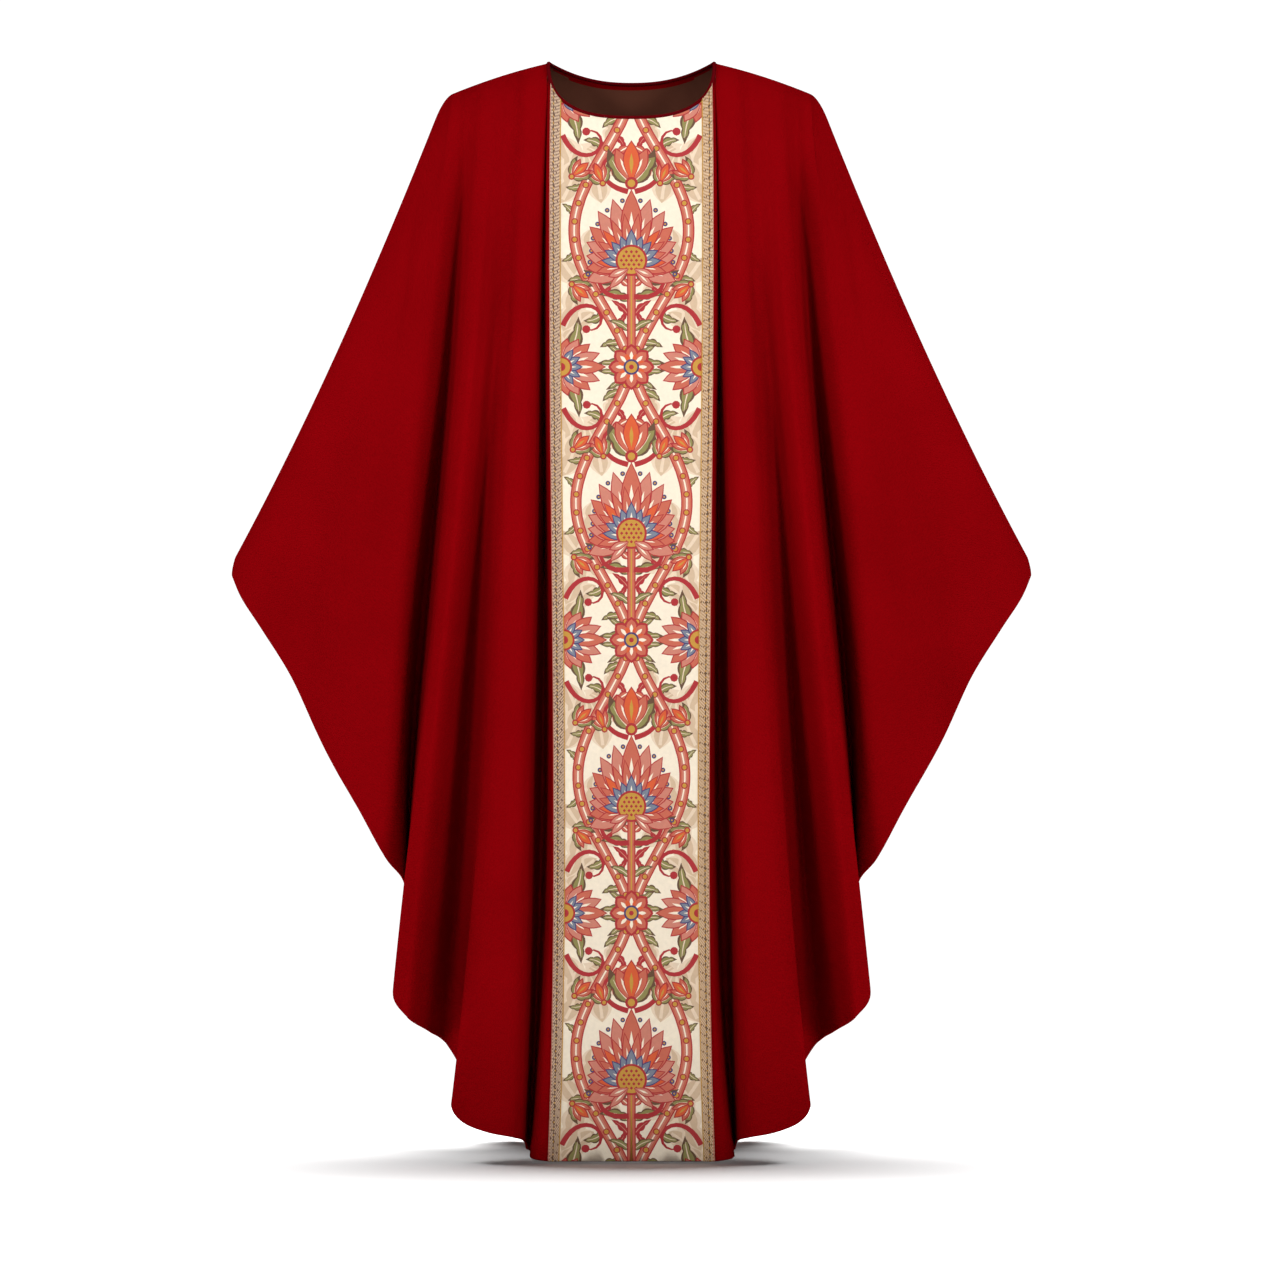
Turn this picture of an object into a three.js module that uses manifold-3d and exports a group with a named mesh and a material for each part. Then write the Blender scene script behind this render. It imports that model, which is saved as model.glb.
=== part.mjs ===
// Gothic chasuble, filled out as it is worn: a hollow garment of two cloth panels that is open at
// the neck, at the hem and down both sides.
// Millimetres, +Z up, the front faces -Y. The origin is the middle of the neck opening at the
// height of the shoulders beside the neck, where the wearer carries the garment.
import * as THREE from 'three';
import { mergeVertices } from 'three/addons/utils/BufferGeometryUtils.js';
import Module from 'manifold-3d';

const wasm = await Module();
wasm.setup();

// ---- Driving dimensions ----
const NECK_HALF_WIDTH = 101;
// The neck edge falls by drop at the middle. A larger spread keeps it low for longer to the sides,
// and a larger steepness brings it up to the shoulder more steeply. gap: how far the binding keeps
// from the cut edge.
const FRONT_NECK = { drop: 69, spread: 2.6, steepness: 2.6, gap: 0.3 };
const BACK_NECK = { drop: 25.5, spread: 2.3, steepness: 1, gap: 0.9 };
// The shoulder and arm lines as heights over the distance from the middle, each slightly bent.
const SHOULDER = { x: NECK_HALF_WIDTH, height: 0, slope: -0.23, bend: -0.0008 };
const ARM = { x: 225, height: -35.5, slope: -2.5645, bend: 0.0014 };
const SHOULDER_ROUNDING = 24;
const TIP_X = 484;
const RIDGE_DEPTH_AT_NECK = 8;
const RIDGE_DEPTH_AT_TIP = -10;

const CLOTH_WALL = 2;
const ORPHREY_WALL = 1.5;
const GALLOON_WALL = 1.2;
const BINDING_RADIUS = 2.2;
const BINDING_SIDES = 6;
const BINDING_STATIONS = 28;
const GAP = 0.3;

// How far each panel stands away from the shoulder ridge, and how soon below the ridge it does.
const FRONT_BODY = { chest: 118, hem: 150, side: 48, overShoulder: 190, overArm: 52 };
const BACK_BODY = { chest: 104, hem: 128, side: 46, overShoulder: 175, overArm: 50 };
const BODY_FALLOFF = { from: 150, to: 380 };
const ROUNDING_FALLOFF = { from: 150, to: 270 };
const BODY_SWELL = { from: 150, to: 1300 };

// One row for each line that runs down the cloth, from the middle of a panel to its sleeve tip.
// x: its distance from the middle at the top, one third down, two thirds down and at the hem.
// hem: how far below the neck it ends. push: how far it stands out (+) or sinks in (-), in mm, at
// the last three of those places. steps: columns of faces between it and the row before.
const FRONT_LINES = [
  { name: 'middle', x: [0, 0, 0, 0], hem: 1330, push: [0, 0, 0], steps: 0 },
  { name: 'galloon inner edge', x: [84, 84, 80, 87], hem: 1330, push: [0, 0, 0], steps: 3 },
  { name: 'orphrey edge', x: [97, 97, 93, 100], hem: 1330, push: [-1, -1, -1], steps: 1 },
  { name: 'strip lip', x: [99.3, 101, 97, 120], hem: 1327, push: [-7, -9, -6], steps: 1 },
  { name: 'inner valley', x: [100.6, 106, 108, 124], hem: 1317, push: [-38, -62, -64], steps: 2 },
  { name: 'tube inner edge', x: [101, 115, 121, 128], hem: 1305, push: [-8, -16, -20], steps: 2 },
  { name: 'tube inner crest', x: [109, 125, 132, 142], hem: 1301, push: [6, 15, 13], steps: 2 },
  { name: 'tube crest', x: [118, 136, 152, 174], hem: 1295, push: [8, 20, 19], steps: 2 },
  { name: 'tube outer crest', x: [126, 147, 169, 204], hem: 1283, push: [4, 14, 12], steps: 1 },
  { name: 'tube outer edge', x: [131, 152, 177, 218], hem: 1264, push: [-4, -6, -14], steps: 2 },
  { name: 'under the tube', x: [136, 157, 181, 206], hem: 1224, push: [-14, -40, -66], steps: 2 },
  { name: 'middle valley', x: [144, 169, 196, 225], hem: 1188, push: [-22, -64, -82], steps: 2 },
  { name: 'fold inner flank', x: [154, 183, 212, 244], hem: 1174, push: [-5, -22, -38], steps: 2 },
  { name: 'fold crest', x: [168, 198, 237, 273], hem: 1154, push: [6, 13, 27], steps: 2 },
  { name: 'fold outer edge', x: [180, 206, 246, 288], hem: 1133, push: [-4, -2, 14], steps: 2 },
  { name: 'under the fold', x: [190, 211, 248, 280], hem: 1082, push: [-26, -36, -26], steps: 2 },
  { name: 'outer valley', x: [199, 221, 256, 270], hem: 1035, push: [-46, -78, -78], steps: 2 },
  { name: 'wing lip', x: [207, 233, 266, 275], hem: 992, push: [-17, -23, -42], steps: 2 },
  { name: 'wing inner', x: [215, 246, 278, 297], hem: 965, push: [0, 0, -12], steps: 1 },
  { name: 'wing ridge', x: [226, 264, 304, 330], hem: 905, push: [4, 5, 2], steps: 2 },
  { name: 'wing hollow', x: [252, 295, 338, 373], hem: 829, push: [0, -2, -3], steps: 2 },
  { name: 'wing middle', x: [318, 350, 382, 412], hem: 745, push: [0, 0, 0], steps: 2 },
  { name: 'wing outer', x: [394, 413, 431, 448], hem: 687, push: [0, 0, 0], steps: 2 },
  { name: 'sleeve edge', x: [450, 458, 466, 473], hem: 648, push: [0, 0, 0], steps: 1 },
  { name: 'sleeve tip', x: [480, 482, 483.5, 484], hem: 622, push: [0, 0, 0], steps: 1 },
];
const BACK_LINES = [
  { name: 'middle', x: [0, 0, 0, 0], hem: 1306, push: [5, 9, 10], steps: 0 },
  { name: 'centre fold edge', x: [42, 46, 52, 62], hem: 1304, push: [2, 4, 6], steps: 2 },
  { name: 'inner valley', x: [66, 70, 78, 88], hem: 1296, push: [-24, -52, -60], steps: 2 },
  { name: 'tube inner edge', x: [88, 92, 98, 106], hem: 1290, push: [-5, -12, -14], steps: 2 },
  { name: 'tube crest', x: [101, 116, 130, 148], hem: 1280, push: [6, 18, 22], steps: 3 },
  { name: 'tube outer edge', x: [126, 142, 163, 195], hem: 1250, push: [-3, -4, -8], steps: 2 },
  { name: 'under the tube', x: [134, 150, 172, 192], hem: 1214, push: [-12, -30, -42], steps: 1 },
  { name: 'middle valley', x: [143, 164, 189, 211], hem: 1180, push: [-22, -54, -58], steps: 1 },
  { name: 'fold inner flank', x: [155, 180, 207, 234], hem: 1162, push: [-3, -12, -14], steps: 2 },
  { name: 'fold crest', x: [170, 195, 229, 262], hem: 1142, push: [5, 14, 22], steps: 2 },
  { name: 'fold outer edge', x: [182, 206, 240, 279], hem: 1118, push: [-5, -3, 8], steps: 1 },
  { name: 'under the fold', x: [191, 211, 243, 272], hem: 1066, push: [-24, -34, -30], steps: 1 },
  { name: 'outer valley', x: [201, 222, 251, 262], hem: 1016, push: [-42, -64, -64], steps: 2 },
  { name: 'wing lip', x: [210, 234, 263, 270], hem: 975, push: [-15, -20, -32], steps: 2 },
  { name: 'wing inner', x: [218, 248, 277, 291], hem: 948, push: [0, 0, -9], steps: 1 },
  { name: 'wing ridge', x: [230, 268, 301, 326], hem: 888, push: [4, 5, 2], steps: 2 },
  { name: 'wing hollow', x: [262, 297, 333, 364], hem: 818, push: [0, -2, -2], steps: 2 },
  { name: 'wing middle', x: [320, 350, 378, 404], hem: 734, push: [0, 0, 0], steps: 2 },
  { name: 'wing outer', x: [395, 411, 427, 441], hem: 678, push: [0, 0, 0], steps: 2 },
  { name: 'sleeve edge', x: [450, 457, 463, 469], hem: 641, push: [0, 0, 0], steps: 1 },
  { name: 'sleeve tip', x: [480, 481.5, 482, 482.5], hem: 620, push: [0, 0, 0], steps: 1 },
];
// The folds of one side are a little shallower than those of the other.
const SIDES = [{ sign: -1, depth: 0.95 }, { sign: 1, depth: 1 }];

const FRONT_ROWS = 18;
const BACK_ROWS = 16;
const ROW_CROWDING = 2;
const NORMAL_STEP = 0.004;

// The block that cuts the neck opening out of a panel's wall.
const NECK_CUT = { above: 60, depth: 300, offset: 130, steps: 28 };

const COLOURS = {
  cloth: { color: 0x8b020a, roughness: 0.85, metalness: 0 },
  orphrey: { color: 0xe3cfae, roughness: 0.7, metalness: 0 },
  galloon: { color: 0xa58b66, roughness: 0.5, metalness: 0.2 },
  binding: { color: 0x5e0509, roughness: 0.8, metalness: 0 },
};

// ---- Small helpers ----
const mix = (from, to, share) => from + (to - from) * share;

function smooth(from, to, value) {
  const share = Math.min(Math.max((value - from) / (to - from), 0), 1);
  return share * share * (3 - 2 * share);
}

// The cubic through four values that stand at 0, 1/3, 2/3 and 1.
function throughFour([a, b, c, d], share) {
  const s = 3 * share;
  const atA = -(s - 1) * (s - 2) * (s - 3) / 6;
  const atB = s * (s - 2) * (s - 3) / 2;
  const atC = -s * (s - 1) * (s - 3) / 2;
  const atD = s * (s - 1) * (s - 2) / 6;
  return a * atA + b * atB + c * atC + d * atD;
}

// ---- The line that the garment hangs from: neck, shoulder and arm ----
const onLine = (line, x) => line.height + line.slope * (x - line.x) + line.bend * (x - line.x) ** 2;

function ridgeHeight(x) {
  const reach = Math.abs(x);
  if (reach < NECK_HALF_WIDTH) {
    return SHOULDER.slope * (reach ** 2 - NECK_HALF_WIDTH ** 2) / (2 * NECK_HALF_WIDTH);
  }
  const shoulder = onLine(SHOULDER, reach);
  const arm = onLine(ARM, reach);
  const overlap = Math.max(SHOULDER_ROUNDING - Math.abs(shoulder - arm), 0);
  return Math.min(shoulder, arm) - overlap ** 2 / (4 * SHOULDER_ROUNDING);
}

function ridgeDepth(x) {
  const share = Math.max(Math.abs(x) - NECK_HALF_WIDTH, 0) / (TIP_X - NECK_HALF_WIDTH);
  return mix(RIDGE_DEPTH_AT_NECK, RIDGE_DEPTH_AT_TIP, share);
}

// The direction in the front view that leads straight away from the ridge into the cloth.
function awayFromRidge(x) {
  const step = 0.5;
  const slope = (ridgeHeight(x + step) - ridgeHeight(x - step)) / (2 * step);
  return new THREE.Vector2(slope, -1).normalize();
}

// A place on the neck edge in the front view: an angle of 0 is its lowest point.
function rimPlace(panel, angle) {
  const { drop, spread, steepness } = panel.neck;
  const below = Math.max(1 - Math.abs(Math.sin(angle)) ** spread, 0) ** (1 / steepness);
  return new THREE.Vector2(NECK_HALF_WIDTH * Math.sin(angle), -drop * below);
}

// ---- One panel of cloth ----
// facing: -1 for the front, which stands toward -Y, and +1 for the back.
const FRONT = {
  facing: -1, neck: FRONT_NECK, body: FRONT_BODY, lines: FRONT_LINES, rows: FRONT_ROWS,
};
const BACK = {
  facing: 1, neck: BACK_NECK, body: BACK_BODY, lines: BACK_LINES, rows: BACK_ROWS,
};

// The lines of both sides in one list, in the order that has the cloth's outer face outward.
function linesAcross(panel) {
  const [middle, ...outer] = panel.lines;
  const placed = (line, side) => ({
    values: [...line.x.map((x) => side.sign * x), -line.hem, ...line.push.map((p) => p * side.depth)],
    steps: line.steps,
    side: side.sign,
  });
  const left = outer.map((line) => placed(line, SIDES[0])).reverse();
  const right = outer.map((line) => placed(line, SIDES[1]));
  const all = [...left, placed(middle, SIDES[1]), ...right];
  return panel.facing < 0 ? all : all.reverse();
}

// How many columns lie between two neighbouring lines: the outer one of the two holds the number.
function stepsBetween(first, second) {
  return Math.abs(first.values[0]) > Math.abs(second.values[0]) ? first.steps : second.steps;
}

function knotSpacing(first, second) {
  const [, , x1, h1, z1, , , p1] = first.values;
  const [, , x2, h2, z2, , , p2] = second.values;
  return Math.sqrt(Math.hypot(x1 - x2, h1 - h2, z1 - z2, p1 - p2));
}

// A value of the smooth curve through four neighbours that stand at uneven knots.
function betweenNeighbours(values, knots, at) {
  const blend = (a, b, from, to) => mix(a, b, (at - from) / (to - from));
  const [k0, k1, k2, k3] = knots;
  const a = blend(values[0], values[1], k0, k1);
  const b = blend(values[1], values[2], k1, k2);
  const c = blend(values[2], values[3], k2, k3);
  return blend(blend(a, b, k0, k2), blend(b, c, k1, k3), k1, k2);
}

function continued(near, far) {
  const values = near.values.map((value, index) => 2 * value - far.values[index]);
  return { values, steps: 0 };
}

// The column at any place across the panel: a whole number is a line, and what lies between is
// interpolated from the four lines around it.
function columnAt(lines, place) {
  const last = lines.length - 1;
  const index = Math.min(Math.max(Math.floor(place), 0), last - 1);
  const first = index === 0 ? continued(lines[0], lines[1]) : lines[index - 1];
  const fourth = index + 2 > last ? continued(lines[last], lines[last - 1]) : lines[index + 2];
  const four = [first, lines[index], lines[index + 1], fourth];
  const knots = [0];
  for (let k = 0; k < 3; k += 1) {
    knots.push(knots[k] + knotSpacing(four[k], four[k + 1]));
  }
  const at = mix(knots[1], knots[2], place - index);
  return four[0].values.map((_, n) => betweenNeighbours(four.map((line) => line.values[n]), knots, at));
}

// The places across the panel at which its columns of faces stand.
function columnPlaces(lines) {
  const places = [];
  for (let index = 0; index < lines.length - 1; index += 1) {
    const steps = stepsBetween(lines[index], lines[index + 1]);
    for (let step = 0; step < steps; step += 1) {
      places.push(index + step / steps);
    }
  }
  places.push(lines.length - 1);
  return places;
}

// How far the cloth stands from the ridge plane at a place in the front view, before its folds.
function bodyReach(panel, x, z) {
  const { chest, hem, side } = panel.body;
  const middle = mix(chest, hem, smooth(BODY_SWELL.from, BODY_SWELL.to, -z));
  return mix(middle, side, smooth(BODY_FALLOFF.from, BODY_FALLOFF.to, Math.abs(x)));
}

// A point on the outer face of the panel, a share of the way down one column.
function clothPoint(panel, column, down) {
  const [top, third, twoThirds, end, hemHeight, ...push] = column;
  const x = throughFour([top, third, twoThirds, end], down);
  const z = mix(ridgeHeight(top), hemHeight, down);
  const away = awayFromRidge(top);
  const under = (x - top) * away.x + (z - ridgeHeight(top)) * away.y;
  const { overShoulder, overArm } = panel.body;
  const rounding = mix(overShoulder, overArm,
    smooth(ROUNDING_FALLOFF.from, ROUNDING_FALLOFF.to, Math.abs(top)));
  const left = Math.max(1 - Math.max(under, 0) / rounding, 0);
  const rounded = Math.sqrt(1 - left * left);
  const reach = bodyReach(panel, x, z) + throughFour([0, ...push], down);
  const ridge = ridgeDepth(top);
  const depth = ridge + panel.facing * (reach + panel.facing * -ridge) * rounded;
  return new THREE.Vector3(x, depth + panel.facing * GAP / 2, z);
}

function clothNormal(panel, lines, place, down) {
  const pointAt = (atPlace, atDown) => clothPoint(panel, columnAt(lines, atPlace), atDown);
  const left = pointAt(Math.max(place - NORMAL_STEP, 0), down);
  const right = pointAt(Math.min(place + NORMAL_STEP, lines.length - 1), down);
  const above = pointAt(place, Math.max(down - NORMAL_STEP, 0));
  const below = pointAt(place, Math.min(down + NORMAL_STEP, 1));
  const across = new THREE.Vector3().subVectors(right, left);
  return new THREE.Vector3().subVectors(below, above).cross(across).normalize();
}

// The grid of outer points of a panel from the ridge down, with the outward normal at each.
function clothGrid(panel) {
  const lines = linesAcross(panel);
  const places = columnPlaces(lines);
  const downs = Array.from({ length: panel.rows + 1 }, (_, row) => (row / panel.rows) ** ROW_CROWDING);
  const points = places.map((place) => downs.map((down) => clothPoint(panel, columnAt(lines, place), down)));
  const normals = places.map((place) => downs.map((down) => clothNormal(panel, lines, place, down)));
  normals.forEach((column) => column[0].setY(0).normalize());
  return { lines, places, points, normals };
}

// ---- Solids ----
// A closed wall over a stretch of a grid's columns. It starts at a height above the grid's points
// and is as thick as its wall; a negative height puts it under them.
function wallOver(grid, first, last, height, thickness) {
  const rows = grid.points[0].length;
  const count = last - first + 1;
  const positions = [];
  for (const lift of [height + thickness, height]) {
    for (let i = first; i <= last; i += 1) {
      for (let j = 0; j < rows; j += 1) {
        const moved = grid.points[i][j].clone().addScaledVector(grid.normals[i][j], lift);
        positions.push(moved.x, moved.y, moved.z);
      }
    }
  }
  const outer = (i, j) => i * rows + j;
  const inner = (i, j) => count * rows + i * rows + j;
  const faces = [];
  const quad = (a, b, c, d) => faces.push(a, b, c, a, c, d);
  for (let i = 0; i < count - 1; i += 1) {
    for (let j = 0; j < rows - 1; j += 1) {
      quad(outer(i, j), outer(i, j + 1), outer(i + 1, j + 1), outer(i + 1, j));
      quad(inner(i, j), inner(i + 1, j), inner(i + 1, j + 1), inner(i, j + 1));
    }
    quad(outer(i, 0), outer(i + 1, 0), inner(i + 1, 0), inner(i, 0));
    quad(outer(i, rows - 1), inner(i, rows - 1), inner(i + 1, rows - 1), outer(i + 1, rows - 1));
  }
  for (let j = 0; j < rows - 1; j += 1) {
    quad(outer(0, j), inner(0, j), inner(0, j + 1), outer(0, j + 1));
    quad(outer(count - 1, j), outer(count - 1, j + 1), inner(count - 1, j + 1), inner(count - 1, j));
  }
  return closedGeometry(positions, faces);
}

function closedGeometry(positions, faces) {
  const geometry = new THREE.BufferGeometry();
  geometry.setAttribute('position', new THREE.Float32BufferAttribute(positions, 3));
  geometry.setIndex(Array.from(faces));
  geometry.computeVertexNormals();
  return geometry;
}

function solidOf(geometry) {
  const bare = geometry.clone();
  bare.deleteAttribute('normal');
  bare.deleteAttribute('uv');
  const merged = mergeVertices(bare);
  return new wasm.Manifold(new wasm.Mesh({
    numProp: 3,
    vertProperties: new Float32Array(merged.getAttribute('position').array),
    triVerts: new Uint32Array(merged.index.array),
  }));
}

// What is left of a wall once the neck opening of its panel is cut out of it.
function withNeckOpening(panel, geometry) {
  const outline = new THREE.Shape();
  outline.moveTo(-NECK_HALF_WIDTH, NECK_CUT.above);
  for (let step = 0; step <= NECK_CUT.steps; step += 1) {
    const place = rimPlace(panel, mix(-Math.PI / 2, Math.PI / 2, step / NECK_CUT.steps));
    outline.lineTo(place.x, place.y);
  }
  outline.lineTo(NECK_HALF_WIDTH, NECK_CUT.above);
  const cutter = new THREE.ExtrudeGeometry(outline, { depth: NECK_CUT.depth, bevelEnabled: false });
  cutter.rotateX(Math.PI / 2);
  cutter.translate(0, RIDGE_DEPTH_AT_NECK + NECK_CUT.depth / 2 + panel.facing * NECK_CUT.offset, 0);
  const cut = solidOf(geometry).subtract(solidOf(cutter)).getMesh();
  return closedGeometry(cut.vertProperties, cut.triVerts);
}

// The point of a panel that lies at a place of the front view, with the cloth's normal there.
function onPanel(panel, lines, target) {
  let low = 0;
  let high = lines.length - 1;
  let down = 0;
  while (high - low > 1e-6) {
    const place = (low + high) / 2;
    const column = columnAt(lines, place);
    const top = ridgeHeight(column[0]);
    down = (top - target.y) / (top - column[4]);
    if ((throughFour(column, down) - target.x) * panel.facing > 0) {
      low = place;
    } else {
      high = place;
    }
  }
  return {
    point: clothPoint(panel, columnAt(lines, low), Math.max(down, 0)),
    normal: clothNormal(panel, lines, low, Math.max(down, 0)),
  };
}

// The stations of the neck edge that one panel gives, from one shoulder to the other.
function neckStations(panel, grid) {
  const stations = [];
  for (let step = 1; step < BINDING_STATIONS; step += 1) {
    const angle = -panel.facing * mix(-Math.PI / 2, Math.PI / 2, step / BINDING_STATIONS);
    stations.push({ ...onPanel(panel, grid.lines, rimPlace(panel, angle)), gap: panel.neck.gap });
  }
  return stations;
}

// The piped binding: one closed tube that runs round the neck just inside the edge of the cloth.
function neckBinding(frontGrid, backGrid) {
  const corner = (x) => ({
    point: new THREE.Vector3(x, RIDGE_DEPTH_AT_NECK, 0),
    normal: new THREE.Vector3(-Math.sign(x) * SHOULDER.slope, 0, 1).normalize(),
    gap: BACK_NECK.gap,
  });
  const ring = [...neckStations(FRONT, frontGrid), corner(NECK_HALF_WIDTH),
    ...neckStations(BACK, backGrid), corner(-NECK_HALF_WIDTH)];
  const positions = [];
  const faces = [];
  ring.forEach((station, i) => {
    const before = ring[(i + ring.length - 1) % ring.length].point;
    const after = ring[(i + 1) % ring.length].point;
    const along = new THREE.Vector3().subVectors(after, before).normalize();
    const intoNeck = new THREE.Vector3().crossVectors(station.normal, along).normalize();
    const out = new THREE.Vector3().crossVectors(along, intoNeck);
    const acrossCut = new THREE.Vector3(along.z, 0, -along.x).normalize();
    const centre = station.point.clone()
      .addScaledVector(intoNeck, (BINDING_RADIUS + station.gap) / Math.abs(intoNeck.dot(acrossCut)))
      .addScaledVector(out, (GAP + ORPHREY_WALL - CLOTH_WALL) / 2);
    for (let side = 0; side < BINDING_SIDES; side += 1) {
      const angle = 2 * Math.PI * side / BINDING_SIDES;
      const at = centre.clone()
        .addScaledVector(intoNeck, BINDING_RADIUS * Math.cos(angle))
        .addScaledVector(out, BINDING_RADIUS * Math.sin(angle));
      positions.push(at.x, at.y, at.z);
      const here = i * BINDING_SIDES;
      const next = ((i + 1) % ring.length) * BINDING_SIDES;
      const turned = (side + 1) % BINDING_SIDES;
      faces.push(here + side, next + turned, next + side);
      faces.push(here + side, here + turned, next + turned);
    }
  });
  return closedGeometry(positions, faces);
}

function piece(name, geometry, finish) {
  const mesh = new THREE.Mesh(geometry, new THREE.MeshStandardMaterial(finish));
  mesh.name = name;
  return mesh;
}

// ---- The garment ----
const frontGrid = clothGrid(FRONT);
const backGrid = clothGrid(BACK);

const columnOf = (name, side) => {
  const middle = FRONT_LINES.length - 1;
  const place = middle + side * FRONT_LINES.findIndex((line) => line.name === name);
  return frontGrid.places.indexOf(place);
};
const ORPHREY_COLUMNS = [columnOf('orphrey edge', -1), columnOf('orphrey edge', 1)];
const LEFT_GALLOON_COLUMNS = [columnOf('orphrey edge', -1), columnOf('galloon inner edge', -1)];
const RIGHT_GALLOON_COLUMNS = [columnOf('galloon inner edge', 1), columnOf('orphrey edge', 1)];
const ON_ORPHREY = GAP + ORPHREY_WALL + GAP;

function garment() {
  const wholeFront = [0, frontGrid.places.length - 1];
  const wholeBack = [0, backGrid.places.length - 1];
  const front = wallOver(frontGrid, ...wholeFront, -CLOTH_WALL, CLOTH_WALL);
  const back = wallOver(backGrid, ...wholeBack, -CLOTH_WALL, CLOTH_WALL);
  const orphrey = wallOver(frontGrid, ...ORPHREY_COLUMNS, GAP, ORPHREY_WALL);
  const leftGalloon = wallOver(frontGrid, ...LEFT_GALLOON_COLUMNS, ON_ORPHREY, GALLOON_WALL);
  const rightGalloon = wallOver(frontGrid, ...RIGHT_GALLOON_COLUMNS, ON_ORPHREY, GALLOON_WALL);
  const group = new THREE.Group();
  group.add(
    piece('front', withNeckOpening(FRONT, front), COLOURS.cloth),
    piece('back', withNeckOpening(BACK, back), COLOURS.cloth),
    piece('orphrey', withNeckOpening(FRONT, orphrey), COLOURS.orphrey),
    piece('galloon_left', withNeckOpening(FRONT, leftGalloon), COLOURS.galloon),
    piece('galloon_right', withNeckOpening(FRONT, rightGalloon), COLOURS.galloon),
    piece('neck_binding', neckBinding(frontGrid, backGrid), COLOURS.binding),
  );
  return group;
}

export default garment();
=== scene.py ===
"""Gothic chasuble, filled out as it is worn.

The cloth panels, the brocade orphrey with its braids, and the neck binding are thin shells on the
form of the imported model's solids. Sizes are in millimetres and become metres in the meshes.
"""

import logging
import math
from dataclasses import dataclass, field
from enum import Enum

import bpy
import numpy as np
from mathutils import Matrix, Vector
from mathutils.geometry import delaunay_2d_cdt


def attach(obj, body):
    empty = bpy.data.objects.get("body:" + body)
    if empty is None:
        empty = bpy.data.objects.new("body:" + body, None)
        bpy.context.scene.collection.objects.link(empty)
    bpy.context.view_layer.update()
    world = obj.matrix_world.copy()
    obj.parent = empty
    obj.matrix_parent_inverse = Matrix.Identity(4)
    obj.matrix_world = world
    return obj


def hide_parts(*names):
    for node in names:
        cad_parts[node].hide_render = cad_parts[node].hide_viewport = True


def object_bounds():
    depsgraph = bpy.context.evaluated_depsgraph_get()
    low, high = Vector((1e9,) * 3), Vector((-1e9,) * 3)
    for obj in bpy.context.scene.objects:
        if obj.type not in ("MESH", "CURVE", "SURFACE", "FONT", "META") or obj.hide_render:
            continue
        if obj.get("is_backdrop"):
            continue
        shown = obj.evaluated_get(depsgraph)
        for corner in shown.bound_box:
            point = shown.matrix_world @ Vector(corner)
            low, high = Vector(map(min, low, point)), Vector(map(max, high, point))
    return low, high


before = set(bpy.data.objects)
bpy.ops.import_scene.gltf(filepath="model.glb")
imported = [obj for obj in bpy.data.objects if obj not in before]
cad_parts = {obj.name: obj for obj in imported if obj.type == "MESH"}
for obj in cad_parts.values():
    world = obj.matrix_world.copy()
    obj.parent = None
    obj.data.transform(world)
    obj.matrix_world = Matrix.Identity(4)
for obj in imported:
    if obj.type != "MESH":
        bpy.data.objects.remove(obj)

CAD_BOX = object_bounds()
MM = 0.001
LOG = logging.getLogger("chasuble")
Array = np.ndarray
Point = tuple[float, float]
Place = tuple[float, float, float]
TINY = 1e-9


# ---------------------------------------------------------------- shape of the cloth


class Facing(Enum):
    """Which way a panel of the garment looks."""

    FRONT = -1
    BACK = 1


@dataclass(frozen=True)
class ClothLine:
    """A line down the cloth: its distances from the middle, its hem and how far it stands out."""

    name: str
    across: tuple[float, float, float, float]
    hem: float
    push: tuple[float, float, float]


@dataclass(frozen=True)
class Body:
    """How far a panel stands away from the shoulder ridge, and how soon below it."""

    chest: float
    hem: float
    side: float
    over_shoulder: float
    over_arm: float


@dataclass(frozen=True)
class Crease:
    """A soft ridge (+) or trough (-) between two places of the front view."""

    start: Point
    end: Point
    width: float
    depth: float
    sides: tuple[float, float] = (1.0, 1.0)


@dataclass(frozen=True)
class NeckEdge:
    """The edge of the neck opening in one panel."""

    drop: float
    spread: float
    steepness: float


@dataclass(frozen=True)
class BentLine:
    """A slightly bent line: a height over the distance from the middle."""

    x: float
    height: float
    slope: float
    bend: float

    def at(self, x: Array) -> Array:
        """Heights of the line."""
        return self.height + self.slope * (x - self.x) + self.bend * (x - self.x) ** 2


@dataclass(frozen=True)
class Wave:
    """A slow wave of hanging cloth: its turns across and down, where it sets off and its height."""

    across: float
    down: float
    phase: float
    size: float


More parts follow.
